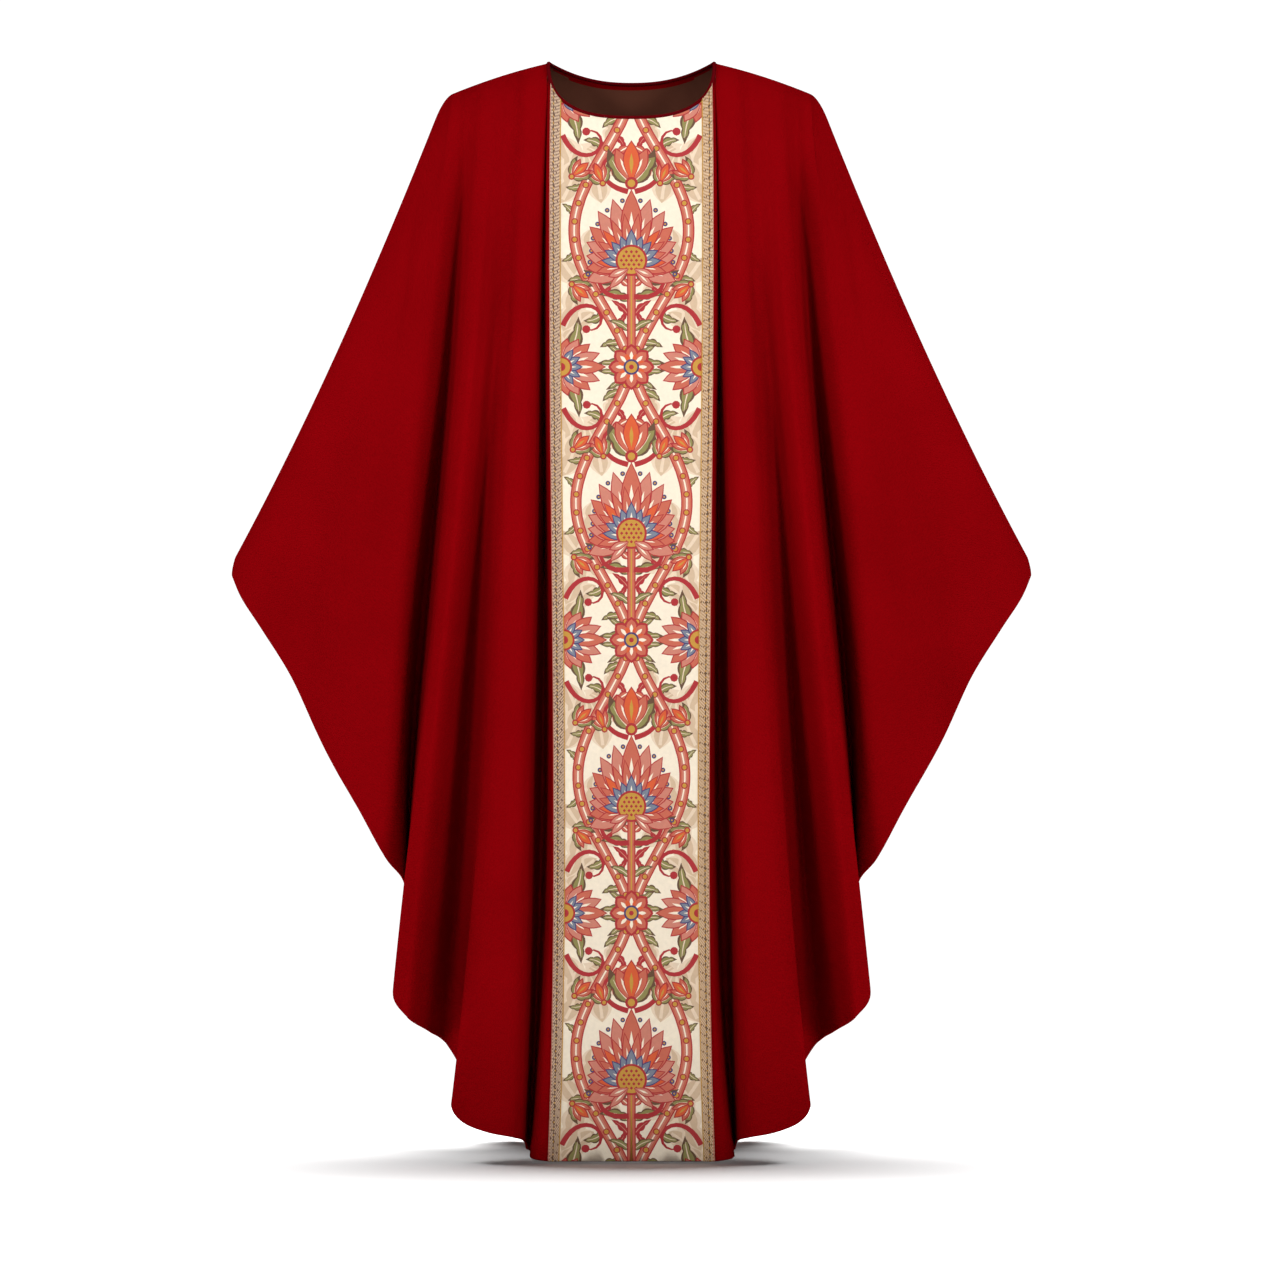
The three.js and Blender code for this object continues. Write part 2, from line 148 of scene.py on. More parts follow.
@dataclass(frozen=True)
class Ridge:
    """The line that the garment hangs from: neck, shoulders and arms."""

    neck_half_width: float = 101.0
    shoulder: BentLine = BentLine(101.0, 0.0, -0.23, -0.0008)
    arm: BentLine = BentLine(225.0, -35.5, -2.5645, 0.0014)
    rounding: float = 24.0
    tip: float = 484.0
    depth_at_neck: float = 8.0
    depth_at_tip: float = -10.0

    def height(self, x: Array) -> Array:
        """Height of the ridge over a distance from the middle.

        Args:
            x: Distances from the middle.

        Returns:
            The heights.
        """
        reach = np.abs(x)
        shoulder = self.shoulder.at(reach)
        arm = self.arm.at(reach)
        overlap = np.maximum(self.rounding - np.abs(shoulder - arm), 0.0)
        outside = np.minimum(shoulder, arm) - overlap**2 / (4.0 * self.rounding)
        over_neck = self.shoulder.slope * (reach**2 - self.neck_half_width**2) / (2.0 * self.neck_half_width)
        return np.where(reach < self.neck_half_width, over_neck, outside)

    def depth(self, x: Array) -> Array:
        """Depth of the ridge over a distance from the middle.

        Args:
            x: Distances from the middle.

        Returns:
            The depths, along Y.
        """
        share = np.maximum(np.abs(x) - self.neck_half_width, 0.0) / (self.tip - self.neck_half_width)
        return self.depth_at_neck + (self.depth_at_tip - self.depth_at_neck) * share

    def away(self, x: Array) -> tuple[Array, Array]:
        """Direction in the front view that leads straight away from the ridge into the cloth.

        Args:
            x: Distances from the middle.

        Returns:
            The X and Z parts of the unit directions.
        """
        step = 0.5
        slope = (self.height(x + step) - self.height(x - step)) / (2.0 * step)
        length = np.hypot(slope, 1.0)
        return slope / length, -1.0 / length


def smooth(start: float, end: float, value: Array) -> Array:
    """Rises softly from 0 to 1 between two values.

    Args:
        start: Value at which the rise starts.
        end: Value at which it ends.
        value: The values.

    Returns:
        The shares, from 0 to 1.
    """
    share = np.clip((value - start) / (end - start), 0.0, 1.0)
    return share * share * (3.0 - 2.0 * share)


def four_weights(share: Array) -> tuple[Array, Array, Array, Array]:
    """Weights of four values at 0, 1/3, 2/3 and 1 in the cubic through them.

    Args:
        share: Places from 0 to 1.

    Returns:
        The four weights at each place.
    """
    s = 3.0 * share  # 0, 1, 2 and 3 at the four values
    return (
        -(s - 1) * (s - 2) * (s - 3) / 6,
        s * (s - 2) * (s - 3) / 2,
        -s * (s - 1) * (s - 3) / 2,
        s * (s - 1) * (s - 2) / 6,
    )


# A panel's table has a line to a row: four distances from the middle, the hem and three pushes.
HEM = 4
SPACED_BY = [2, 3, 4, 7]
WAVES = (
    Wave(0.021, 0.0042, 0.4, 0.8),
    Wave(0.034, -0.0060, 1.9, 0.5),
    Wave(0.012, 0.0110, 3.1, 0.6),
)


@dataclass
class Panel:
    """One panel of cloth as a surface: a place across it and a share of the way down give a point."""

    facing: Facing
    body: Body
    neck: NeckEdge
    lines: tuple[ClothLine, ...]
    creases: tuple[Crease, ...]
    ridge: Ridge = field(default_factory=Ridge)
    side_depths: tuple[float, float] = (0.95, 1.0)
    falloff: tuple[float, float] = (150.0, 380.0)
    rounding_falloff: tuple[float, float] = (150.0, 270.0)
    swell: tuple[float, float] = (150.0, 1300.0)
    settling: tuple[float, float] = (0.0, 40.0)
    beside_orphrey: tuple[float, float] = (98.0, 112.0)
    waves: tuple[Wave, ...] = WAVES
    seam_gap: float = 0.3
    outside_neck: float = 1e3
    deepest_rim: float = 0.2
    halvings: int = 40
    places_tried: int = 4001

    def __post_init__(self) -> None:
        """Sets both sides' lines in one table, from the left side to the right one."""
        rows = [self._row(line, -1.0, self.side_depths[0]) for line in reversed(self.lines[1:])]
        rows += [self._row(line, 1.0, self.side_depths[1]) for line in self.lines]
        self.table = np.array(rows)
        if self.facing is Facing.BACK:
            self.table = self.table[::-1].copy()
        first = 2 * self.table[0] - self.table[1]
        last = 2 * self.table[-1] - self.table[-2]
        self.padded = np.vstack([first, self.table, last])
        ends = self.padded[:, SPACED_BY]
        self.spacing = np.sqrt(np.linalg.norm(np.diff(ends, axis=0), axis=1))
        self.count = len(self.table)
        self.middle = self.count // 2

    @staticmethod
    def _row(line: ClothLine, sign: float, depth: float) -> list[float]:
        """Values of one line on one side."""
        return [sign * x for x in line.across] + [-line.hem] + [push * depth for push in line.push]

    def columns(self, place: Array) -> Array:
        """Line values at any place across the panel.

        Args:
            place: Places; a whole number is a line of the table.

        Returns:
            One row of eight values for each place.
        """
        index = np.clip(np.floor(place).astype(int), 0, self.count - 2)
        rows = [self.padded[index + step] for step in range(4)]
        knots = [np.zeros_like(place)]
        for step in range(3):
            knots.append(knots[-1] + self.spacing[index + step])
        at = knots[1] + (knots[2] - knots[1]) * (place - index)

        def blend(a: Array, b: Array, start: Array, end: Array) -> Array:
            """Mixes two rows by where the place lies between two knots."""
            share = ((at - start) / (end - start))[..., None]
            return a + (b - a) * share

        a = blend(rows[0], rows[1], knots[0], knots[1])
        b = blend(rows[1], rows[2], knots[1], knots[2])
        c = blend(rows[2], rows[3], knots[2], knots[3])
        return blend(blend(a, b, knots[0], knots[2]), blend(b, c, knots[1], knots[3]), knots[1], knots[2])

    def front_view(self, columns: Array, down: Array) -> tuple[Array, Array]:
        """Where points lie in the front view.

        Args:
            columns: Line values of the points.
            down: Shares of the way down.

        Returns:
            Their X and their height.
        """
        w = four_weights(down)
        x = sum(columns[..., n] * w[n] for n in range(4))
        top = self.ridge.height(columns[..., 0])
        return x, top + (columns[..., HEM] - top) * down

    def base(self, place: Array, down: Array) -> Array:
        """Points of the cloth without its creases.

        Args:
            place: Places across the panel.
            down: Shares of the way down.

        Returns:
            Points, in millimetres.
        """
        sign = float(self.facing.value)
        columns = self.columns(place)
        top = columns[..., 0]
        x, z = self.front_view(columns, down)
        away_x, away_z = self.ridge.away(top)
        under = (x - top) * away_x + (z - self.ridge.height(top)) * away_z
        turn = smooth(*self.rounding_falloff, np.abs(top))
        rounding = self.body.over_shoulder + (self.body.over_arm - self.body.over_shoulder) * turn
        left = np.maximum(1.0 - np.maximum(under, 0.0) / rounding, 0.0)
        rounded = np.sqrt(1.0 - left * left)
        middle = self.body.chest + (self.body.hem - self.body.chest) * smooth(*self.swell, -z)
        reach = middle + (self.body.side - middle) * smooth(*self.falloff, np.abs(x))
        w = four_weights(down)
        reach = reach + sum(columns[..., HEM + n] * w[n] for n in (1, 2, 3))
        ridge = self.ridge.depth(top)
        depth = ridge + sign * (reach - sign * ridge) * rounded
        return np.stack([x, depth + sign * self.seam_gap / 2.0, z], axis=-1)

    def normals(self, place: Array, down: Array) -> Array:
        """Outward normals of the cloth.

        Args:
            place: Places across the panel.
            down: Shares of the way down.

        Returns:
            Unit vectors.
        """
        step = 0.004
        last = float(self.count - 1)
        across = (self.base(np.minimum(place + step, last), down)
                  - self.base(np.maximum(place - step, 0), down))
        below = (self.base(place, np.minimum(down + step, 1))
                 - self.base(place, np.maximum(down - step, 0)))
        normal = np.cross(below, across)
        on_ridge = (down <= TINY) & (np.abs(self.columns(place)[..., 0]) > 0)
        normal[..., 1] = np.where(on_ridge, 0.0, normal[..., 1])
        return normal / np.maximum(np.linalg.norm(normal, axis=-1, keepdims=True), TINY)

    def crease_height(self, x: Array, z: Array) -> Array:
        """How far the creases lift the cloth at places of the front view.

        Args:
            x: Distances from the middle.
            z: Heights.

        Returns:
            The lifts, in millimetres.
        """
        total = np.zeros_like(x)
        reach = np.abs(x)
        for crease in self.creases:
            (x0, z0), (x1, z1) = crease.start, crease.end
            along_x, along_z = x1 - x0, z1 - z0
            length2 = along_x**2 + along_z**2
            share = ((reach - x0) * along_x + (z - z0) * along_z) / length2
            aside = np.abs((reach - x0) * along_z - (z - z0) * along_x) / math.sqrt(length2)
            taper = np.sin(np.pi * np.clip(share, 0.0, 1.0)) ** 0.8
            side = np.where(x < 0, crease.sides[0], crease.sides[1])
            total += crease.depth * side * taper * np.exp(-((aside / crease.width) ** 2))
        return total

    def unevenness(self, x: Array, z: Array) -> Array:
        """Slow, uneven waves of hanging cloth.

        Args:
            x: Distances from the middle.
            z: Heights.

        Returns:
            The lifts, in millimetres.
        """
        return sum(wave.size * np.sin(wave.across * x + wave.down * z + wave.phase) for wave in self.waves)

    def surface(self, place: Array, down: Array) -> tuple[Array, Array]:
        """Points of the finished cloth, with their normals.

        Args:
            place: Places across the panel.
            down: Shares of the way down.

        Returns:
            Points and unit normals.
        """
        points = self.base(place, down)
        normals = self.normals(place, down)
        x, z = points[..., 0], points[..., 2]
        top = self.columns(place)[..., 0]
        settled = smooth(*self.settling, self.ridge.height(top) - z)
        outside_orphrey = smooth(*self.beside_orphrey, np.abs(x)) if self.facing is Facing.FRONT else 1.0
        lift = (self.crease_height(x, z) + self.unevenness(x, z)) * settled * outside_orphrey
        return points + normals * lift[..., None], normals

    def rim_height(self, x: Array) -> Array:
        """Height of the neck edge over a distance from the middle.

        Args:
            x: Distances from the middle.

        Returns:
            The heights.
        """
        share = np.minimum(np.abs(x) / self.ridge.neck_half_width, 1.0)
        rim = -self.neck.drop * (1.0 - share**self.neck.spread) ** (1.0 / self.neck.steepness)
        return np.where(np.abs(x) < self.ridge.neck_half_width, rim, self.outside_neck)

    def down_at_rim(self, place: Array) -> Array:
        """How far down each column the cloth starts: 0 on the ridge and more in the neck opening.

        Args:
            place: Places across the panel.

        Returns:
            Shares of the way down.
        """
        columns = self.columns(place)
        low = np.zeros_like(place)
        high = np.full_like(place, self.deepest_rim)
        for _ in range(self.halvings):
            middle = (low + high) / 2.0
            x, z = self.front_view(columns, middle)
            above = z > self.rim_height(x)
            low = np.where(above, middle, low)
            high = np.where(above, high, middle)
        inside = np.abs(columns[..., 0]) < self.ridge.neck_half_width
        return np.where(inside, high, 0.0)

    def place_of_top(self, top: Array) -> Array:
        """Places across the panel whose columns start at given distances from the middle.

        Args:
            top: Distances from the middle at the ridge.

        Returns:
            Places across the panel.
        """
        places = np.linspace(0.0, self.count - 1.0, self.places_tried)
        tops = self.columns(places)[:, 0]
        order = np.argsort(tops)
        return np.interp(top, tops[order], places[order])

    def down_of_height(self, place: Array, z: Array) -> Array:
        """Shares of the way down at which columns reach given heights.

        Args:
            place: Places across the panel.
            z: Heights.

        Returns:
            Shares of the way down.
        """
        columns = self.columns(place)
        top = self.ridge.height(columns[..., 0])
        return (top - z) / (top - columns[..., HEM])


FRONT_LINES = (
    ClothLine("middle", (0, 0, 0, 0), 1330, (0, 0, 0)),
    ClothLine("galloon inner edge", (84, 84, 80, 87), 1330, (0, 0, 0)),
    ClothLine("orphrey edge", (97, 97, 93, 100), 1330, (-1, -1, -1)),
    ClothLine("strip lip", (99.3, 101, 97, 120), 1327, (-7, -9, -6)),
    ClothLine("inner valley", (100.6, 106, 108, 124), 1317, (-38, -62, -64)),
    ClothLine("tube inner edge", (101, 115, 121, 128), 1305, (-8, -16, -20)),
    ClothLine("tube inner crest", (109, 125, 132, 142), 1301, (6, 15, 13)),
    ClothLine("tube crest", (118, 136, 152, 174), 1295, (8, 20, 19)),
    ClothLine("tube outer crest", (126, 147, 169, 204), 1283, (4, 14, 12)),
    ClothLine("tube outer edge", (131, 152, 177, 218), 1264, (-4, -6, -14)),
    ClothLine("under the tube", (136, 157, 181, 206), 1224, (-14, -40, -66)),
    ClothLine("middle valley", (144, 169, 196, 225), 1188, (-22, -64, -82)),
    ClothLine("fold inner flank", (154, 183, 212, 244), 1174, (-5, -22, -38)),
    ClothLine("fold crest", (168, 198, 237, 273), 1154, (6, 13, 27)),
    ClothLine("fold outer edge", (180, 206, 246, 288), 1133, (-4, -2, 14)),
    ClothLine("under the fold", (190, 211, 248, 280), 1082, (-26, -36, -26)),
    ClothLine("outer valley", (199, 221, 256, 270), 1035, (-46, -78, -78)),
    ClothLine("wing lip", (207, 233, 266, 275), 992, (-17, -23, -42)),
    ClothLine("wing inner", (215, 246, 278, 297), 965, (0, 0, -12)),
    ClothLine("wing ridge", (226, 264, 304, 330), 905, (4, 5, 2)),
    ClothLine("wing hollow", (252, 295, 338, 373), 829, (0, -2, -3)),
    ClothLine("wing middle", (318, 350, 382, 412), 745, (0, 0, 0)),
    ClothLine("wing outer", (394, 413, 431, 448), 687, (0, 0, 0)),
    ClothLine("sleeve edge", (450, 458, 466, 473), 648, (0, 0, 0)),
    ClothLine("sleeve tip", (480, 482, 483.5, 484), 622, (0, 0, 0)),
)
BACK_LINES = (
    ClothLine("middle", (0, 0, 0, 0), 1306, (5, 9, 10)),
    ClothLine("centre fold edge", (42, 46, 52, 62), 1304, (2, 4, 6)),
    ClothLine("inner valley", (66, 70, 78, 88), 1296, (-24, -52, -60)),
    ClothLine("tube inner edge", (88, 92, 98, 106), 1290, (-5, -12, -14)),
    ClothLine("tube crest", (101, 116, 130, 148), 1280, (6, 18, 22)),
    ClothLine("tube outer edge", (126, 142, 163, 195), 1250, (-3, -4, -8)),
    ClothLine("under the tube", (134, 150, 172, 192), 1214, (-12, -30, -42)),
    ClothLine("middle valley", (143, 164, 189, 211), 1180, (-22, -54, -58)),
    ClothLine("fold inner flank", (155, 180, 207, 234), 1162, (-3, -12, -14)),
    ClothLine("fold crest", (170, 195, 229, 262), 1142, (5, 14, 22)),
    ClothLine("fold outer edge", (182, 206, 240, 279), 1118, (-5, -3, 8)),
    ClothLine("under the fold", (191, 211, 243, 272), 1066, (-24, -34, -30)),
    ClothLine("outer valley", (201, 222, 251, 262), 1016, (-42, -64, -64)),
    ClothLine("wing lip", (210, 234, 263, 270), 975, (-15, -20, -32)),
    ClothLine("wing inner", (218, 248, 277, 291), 948, (0, 0, -9)),
    ClothLine("wing ridge", (230, 268, 301, 326), 888, (4, 5, 2)),
    ClothLine("wing hollow", (262, 297, 333, 364), 818, (0, -2, -2)),
    ClothLine("wing middle", (320, 350, 378, 404), 734, (0, 0, 0)),
    ClothLine("wing outer", (395, 411, 427, 441), 678, (0, 0, 0)),
    ClothLine("sleeve edge", (450, 457, 463, 469), 641, (0, 0, 0)),
    ClothLine("sleeve tip", (480, 481.5, 482, 482.5), 620, (0, 0, 0)),
)
FRONT_CREASES = (
    Crease((262, -300), (304, -690), 15, 2.4),
    Crease((306, -260), (348, -810), 17, -2.8, (0.8, 1.0)),
    Crease((372, -430), (392, -760), 16, 1.8, (1.0, 0.6)),
    Crease((424, -540), (436, -700), 13, -1.4),
    Crease((150, -40), (139, -340), 12, 2.0),
    Crease((186, -50), (200, -350), 11, 2.2, (1.0, 0.7)),
    Crease((114, -24), (163, -400), 11, -2.2, (0.7, 1.0)),
    Crease((228, -90), (262, -360), 10, -1.6),
    Crease((150, -560), (160, -1230), 8, -1.1, (1.0, 0.5)),
    Crease((228, -520), (262, -1100), 8, -1.0, (0.6, 1.0)),
    Crease((332, -620), (352, -880), 9, 1.2),
    Crease((290, -520), (318, -920), 8, -1.0, (1.0, 0.4)),
)
BACK_CREASES = (
    Crease((262, -320), (302, -660), 15, 2.2),
    Crease((308, -280), (346, -780), 17, -2.6, (1.0, 0.8)),
    Crease((372, -430), (388, -740), 16, 1.8, (0.6, 1.0)),
    Crease((424, -540), (434, -690), 13, -1.4),
    Crease((140, -40), (126, -380), 13, 2.4, (0.8, 1.0)),
    Crease((40, -60), (52, -700), 16, -2.4),
    Crease((14, -420), (20, -1180), 12, 1.6, (1.0, 0.2)),
    Crease((150, -600), (150, -1220), 9, -1.2, (0.5, 1.0)),
    Crease((222, -520), (252, -1080), 8, -1.0),
)


# ---------------------------------------------------------------- finishes


def srgb(red: int, green: int, blue: int) -> tuple[float, float, float, float]:
    """Linear colour of an eight-bit one.

    Args:
        red: Red, 0 to 255.
        green: Green, 0 to 255.
        blue: Blue, 0 to 255.

    Returns:
        The linear colour with full alpha.
    """

    def one(value: int) -> float:
        """Linear value of one channel."""
        share = value / 255.0
        return share / 12.92 if share <= 0.04045 else ((share + 0.055) / 1.055) ** 2.4

    return one(red), one(green), one(blue), 1.0


WHITE = (1.0, 1.0, 1.0, 1.0)


class Thread(Enum):
    """Colours of the threads in the brocade and the braids."""

    CREAM = (255, 240, 216)
    BEIGE = (220, 190, 158)
    SAND = (240, 216, 188)
    CORAL = (206, 104, 80)
    RED = (178, 38, 44)
    OLIVE = (146, 138, 78)
    GOLD = (204, 152, 58)
    INDIGO = (68, 56, 112)
    ORANGE = (222, 92, 44)
    SLATE = (124, 132, 148)
    BROWN = (104, 72, 48)
    TAN = (180, 138, 94)
    MAUVE = (148, 114, 98)
    ROSE = (212, 132, 112)


class Nodes:
    """Short calls for building a shader node tree."""

    def __init__(self, tree: bpy.types.NodeTree) -> None:
        """Keeps the tree.

        Args:
            tree: The tree to build in.
        """
        self.tree = tree

    def add(self, kind: str, **settings: object) -> bpy.types.Node:
        """Adds a node with some of its properties set.

        Args:
            kind: The node's type.
            settings: Its properties.

        Returns:
            The node.
        """
        node = self.tree.nodes.new(kind)
        for name, value in settings.items():
            setattr(node, name, value)
        return node

    def join(self, source: bpy.types.NodeSocket, target: bpy.types.NodeSocket) -> None:
        """Links one socket to another."""
        self.tree.links.new(source, target)

    def put(self, target: bpy.types.NodeSocket, value: object) -> None:
        """Links a socket or sets a plain value on it.

        Args:
            target: The socket to feed.
            value: Another socket or a plain value.
        """
        if isinstance(value, bpy.types.NodeSocket):
            self.join(value, target)
        else:
            target.default_value = value

    def math(self, operation: str, *values: object) -> bpy.types.NodeSocket:
        """Adds a math node.

        Args:
            operation: What it does.
            values: Its inputs, as sockets or numbers.

        Returns:
            Its output.
        """
        node = self.add("ShaderNodeMath", operation=operation)
        for index, value in enumerate(values):
            self.put(node.inputs[index], value)
        return node.outputs[0]

    def mix(self, share: object, first: object, second: object) -> bpy.types.NodeSocket:
        """Adds a colour mix.

        Args:
            share: How much of the second colour there is.
            first: The first colour.
            second: The second colour.

        Returns:
            The mixed colour.
        """
        node = self.add("ShaderNodeMix", data_type="RGBA")
        self.put(node.inputs[0], share)
        self.put(node.inputs[6], first)
        self.put(node.inputs[7], second)
        return node.outputs[2]

    def group(self, tree: bpy.types.NodeTree, inputs: dict[str, float]) -> bpy.types.Node:
        """Places a node group with values of its own.

        Args:
            tree: The group.
            inputs: Names and values of its inputs.

        Returns:
            The node.
        """
        node = self.add("ShaderNodeGroup", node_tree=tree)
        for name, value in inputs.items():
            node.inputs[name].default_value = value
        return node

    def noise(self, scale: object, detail: float) -> bpy.types.Node:
        """Adds a noise.

        Args:
            scale: How fine it is, as a socket or a number.
            detail: How many finer noises lie over it.

        Returns:
            The node.
        """
        node = self.add("ShaderNodeTexNoise")
        self.put(node.inputs["Scale"], scale)
        node.inputs["Detail"].default_value = detail
        return node

    def relief(self, shader: bpy.types.Node, height: bpy.types.NodeSocket, strength: float,
               depth: float) -> None:
        """Gives a shader a relief.

        Args:
            shader: The Principled shader.
            height: The heights.
            strength: How strongly it shows.
            depth: How high it is, in millimetres.
        """
        bump = self.add("ShaderNodeBump")
        bump.inputs["Strength"].default_value = strength
        bump.inputs["Distance"].default_value = depth * MM
        self.join(height, bump.inputs["Height"])
        self.join(bump.outputs[0], shader.inputs["Normal"])


class EffectGroups:
    """The effects that more than one finish uses, each built once as a node group."""

    FUZZ_SCALE = 900.0
    FUZZ_DETAIL = 2.0
    MOTTLE_DETAIL = 4.0

    def __init__(self) -> None:
        """Builds the groups."""
        self.weave = self._weave()
        self.mottle = self._mottle()

    @staticmethod
    def _start(name: str, inputs: dict[str, float], outputs: tuple[str, ...]) -> tuple[Nodes, dict, dict]:
        """Makes an empty group with float sockets.

        Args:
            name: The group's name.
            inputs: Names and default values of the inputs.
            outputs: Names of the outputs.

        Returns:
            The node helper, the input sockets and the output sockets by name.
        """
        tree = bpy.data.node_groups.new(name, "ShaderNodeTree")
        for socket, value in inputs.items():
            made = tree.interface.new_socket(socket, in_out="INPUT", socket_type="NodeSocketFloat")
            made.default_value = value
        for socket in outputs:
            tree.interface.new_socket(socket, in_out="OUTPUT", socket_type="NodeSocketFloat")
        nodes = Nodes(tree)
        source = nodes.add("NodeGroupInput")
        target = nodes.add("NodeGroupOutput")
        given = {socket.name: socket for socket in source.outputs if socket.name}
        out = {socket.name: socket for socket in target.inputs if socket.name}
        return nodes, given, out

    def _weave(self) -> bpy.types.NodeTree:
        """Threads over and under each other along the cloth's own coordinates.

        Returns:
            The group.
        """
        inputs = {"Threads per metre": 700.0, "Fuzz": 0.35}
        nodes, given, out = self._start("woven threads", inputs, ("Height", "Shade"))
        place = nodes.add("ShaderNodeUVMap", uv_map="cloth")
        split = nodes.add("ShaderNodeSeparateXYZ")
        nodes.join(place.outputs[0], split.inputs[0])
        turns = nodes.math("MULTIPLY", given["Threads per metre"], math.pi)
        across = nodes.math("MULTIPLY", split.outputs[0], turns)
        along = nodes.math("MULTIPLY", split.outputs[1], turns)
        warp = nodes.math("SINE", across)
        weft = nodes.math("SINE", along)
        crossing = nodes.math("MULTIPLY", warp, weft)
        fuzz = nodes.noise(self.FUZZ_SCALE, self.FUZZ_DETAIL)
        rough = nodes.math("MULTIPLY", nodes.math("SUBTRACT", fuzz.outputs[0], 0.5), given["Fuzz"])
        height = nodes.math("ADD", nodes.math("MULTIPLY", crossing, 0.5), rough)
        nodes.join(height, out["Height"])
        nodes.join(nodes.math("ADD", nodes.math("MULTIPLY", height, 0.5), 0.5), out["Shade"])
        return nodes.tree

    def _mottle(self) -> bpy.types.NodeTree:
        """Slow changes of shade over a cloth, from dye, wear and handling.

        Returns:
            The group.
        """
        inputs = {"Scale": 14.0, "Contrast": 0.5}
        nodes, given, out = self._start("mottled shade", inputs, ("Shade",))
        place = nodes.add("ShaderNodeTexCoord")
        broad = nodes.noise(given["Scale"], self.MOTTLE_DETAIL)
        nodes.join(place.outputs["Object"], broad.inputs["Vector"])
        centred = nodes.math("SUBTRACT", broad.outputs[0], 0.5)
        shade = nodes.math("ADD", nodes.math("MULTIPLY", centred, given["Contrast"]), 0.5)
        nodes.join(shade, out["Shade"])
        return nodes.tree


@dataclass(frozen=True)
class ClothFinish:
    """A plain dyed cloth: a weave with a soft nap and slow changes of shade."""

    name: str
    colour: tuple[int, int, int]
    shaded: tuple[int, int, int]
    roughness: float
    sheen: float
    threads_per_metre: float
    thread_height: float
    specular: float = 0.0
    sheen_roughness: float = 0.45
    fuzz: float = 0.6
    thread_shade: float = 0.22
    mottle_scale: float = 9.0
    mottle_contrast: float = 1.1
    relief: float = 0.55

    def build(self, groups: EffectGroups) -> bpy.types.Material:
        """Makes the material.

        Args:
            groups: The shared effects.

        Returns:
            The material.
        """
        material, nodes, shader = new_material(self.name)
        mottle = nodes.group(groups.mottle, {"Scale": self.mottle_scale, "Contrast": self.mottle_contrast})
        weave = nodes.group(groups.weave, {"Threads per metre": self.threads_per_metre, "Fuzz": self.fuzz})
        toned = nodes.mix(mottle.outputs["Shade"], srgb(*self.shaded), srgb(*self.colour))
        threads = nodes.math("MULTIPLY", weave.outputs["Shade"], self.thread_shade)
        nodes.join(nodes.mix(threads, toned, srgb(*self.shaded)), shader.inputs["Base Color"])
        shader.inputs["Roughness"].default_value = self.roughness
        shader.inputs["Specular IOR Level"].default_value = self.specular
        shader.inputs["Sheen Weight"].default_value = self.sheen
        shader.inputs["Sheen Roughness"].default_value = self.sheen_roughness
        shader.inputs["Sheen Tint"].default_value = srgb(*self.colour)
        nodes.relief(shader, weave.outputs["Height"], self.relief, self.thread_height)
        return material


@dataclass(frozen=True)
class FiguredFinish:
    """A cloth woven in many colours, which its mesh carries as the colour of each thread, with painted shade
    in the weave's hollows.
    """

    name: str
    roughness: float
    threads_per_metre: float
    thread_height: float
    metallic: float = 0.0
    specular: float = 0.35
    sheen: float = 0.08
    fuzz: float = 0.5
    wear_and_shade_tone: float = 0.62
    # painted shade: how far the thread colours darken in the weave's hollows
    painted_hollow_shade: float = 0.4
    wear: float = 0.24
    mottle_scale: float = 230.0
    mottle_contrast: float = 2.2
    relief: float = 0.6

    def build(self, groups: EffectGroups) -> bpy.types.Material:
        """Makes the material.

        Args:
            groups: The shared effects.

        Returns:
            The material.
        """
        material, nodes, shader = new_material(self.name)
        figure = nodes.add("ShaderNodeVertexColor", layer_name="thread")
        weave = nodes.group(groups.weave, {"Threads per metre": self.threads_per_metre, "Fuzz": self.fuzz})
        mottle = nodes.group(groups.mottle, {"Scale": self.mottle_scale, "Contrast": self.mottle_contrast})
        # a darker copy of the thread colours, used for the painted shade in the hollows and for random wear
        wear_and_shade_tone = nodes.add("ShaderNodeHueSaturation")
        wear_and_shade_tone.inputs["Value"].default_value = self.wear_and_shade_tone
        nodes.join(figure.outputs[0], wear_and_shade_tone.inputs["Color"])
        # painted shade: the thread colours are darkened in the weave's hollows between the threads
        between = nodes.math("SUBTRACT", 1.0, weave.outputs["Shade"])
        painted_shade_in_hollows = nodes.math("MULTIPLY", between, self.painted_hollow_shade)
        threaded = nodes.mix(painted_shade_in_hollows, figure.outputs[0], wear_and_shade_tone.outputs[0])
        worn = nodes.math("MULTIPLY", mottle.outputs["Shade"], self.wear)
        nodes.join(nodes.mix(worn, threaded, wear_and_shade_tone.outputs[0]), shader.inputs["Base Color"])
        shader.inputs["Roughness"].default_value = self.roughness
        shader.inputs["Metallic"].default_value = self.metallic
        shader.inputs["Specular IOR Level"].default_value = self.specular
        shader.inputs["Sheen Weight"].default_value = self.sheen
        nodes.relief(shader, weave.outputs["Height"], self.relief, self.thread_height)
        return material


@dataclass(frozen=True)
class StudioFinish:
    """The plain surface of the floor."""

    name: str
    colour: tuple[int, int, int]
    glow: float
    roughness: float = 0.9

    def build(self) -> bpy.types.Material:
        """Makes the material.

        Returns:
            The material.
        """
        material, _, shader = new_material(self.name)
        shader.inputs["Base Color"].default_value = srgb(*self.colour)
        shader.inputs["Roughness"].default_value = self.roughness
        shader.inputs["Emission Color"].default_value = WHITE
        shader.inputs["Emission Strength"].default_value = self.glow
        return material


def new_material(name: str) -> tuple[bpy.types.Material, Nodes, bpy.types.Node]:
    """Starts a node material.

    Args:
        name: Its name.

    Returns:
        The material, its node helper and its Principled shader.
    """
    material = bpy.data.materials.new(name)
    material.use_nodes = True
    shader = next(n for n in material.node_tree.nodes if n.type == "BSDF_PRINCIPLED")
    return material, Nodes(material.node_tree), shader


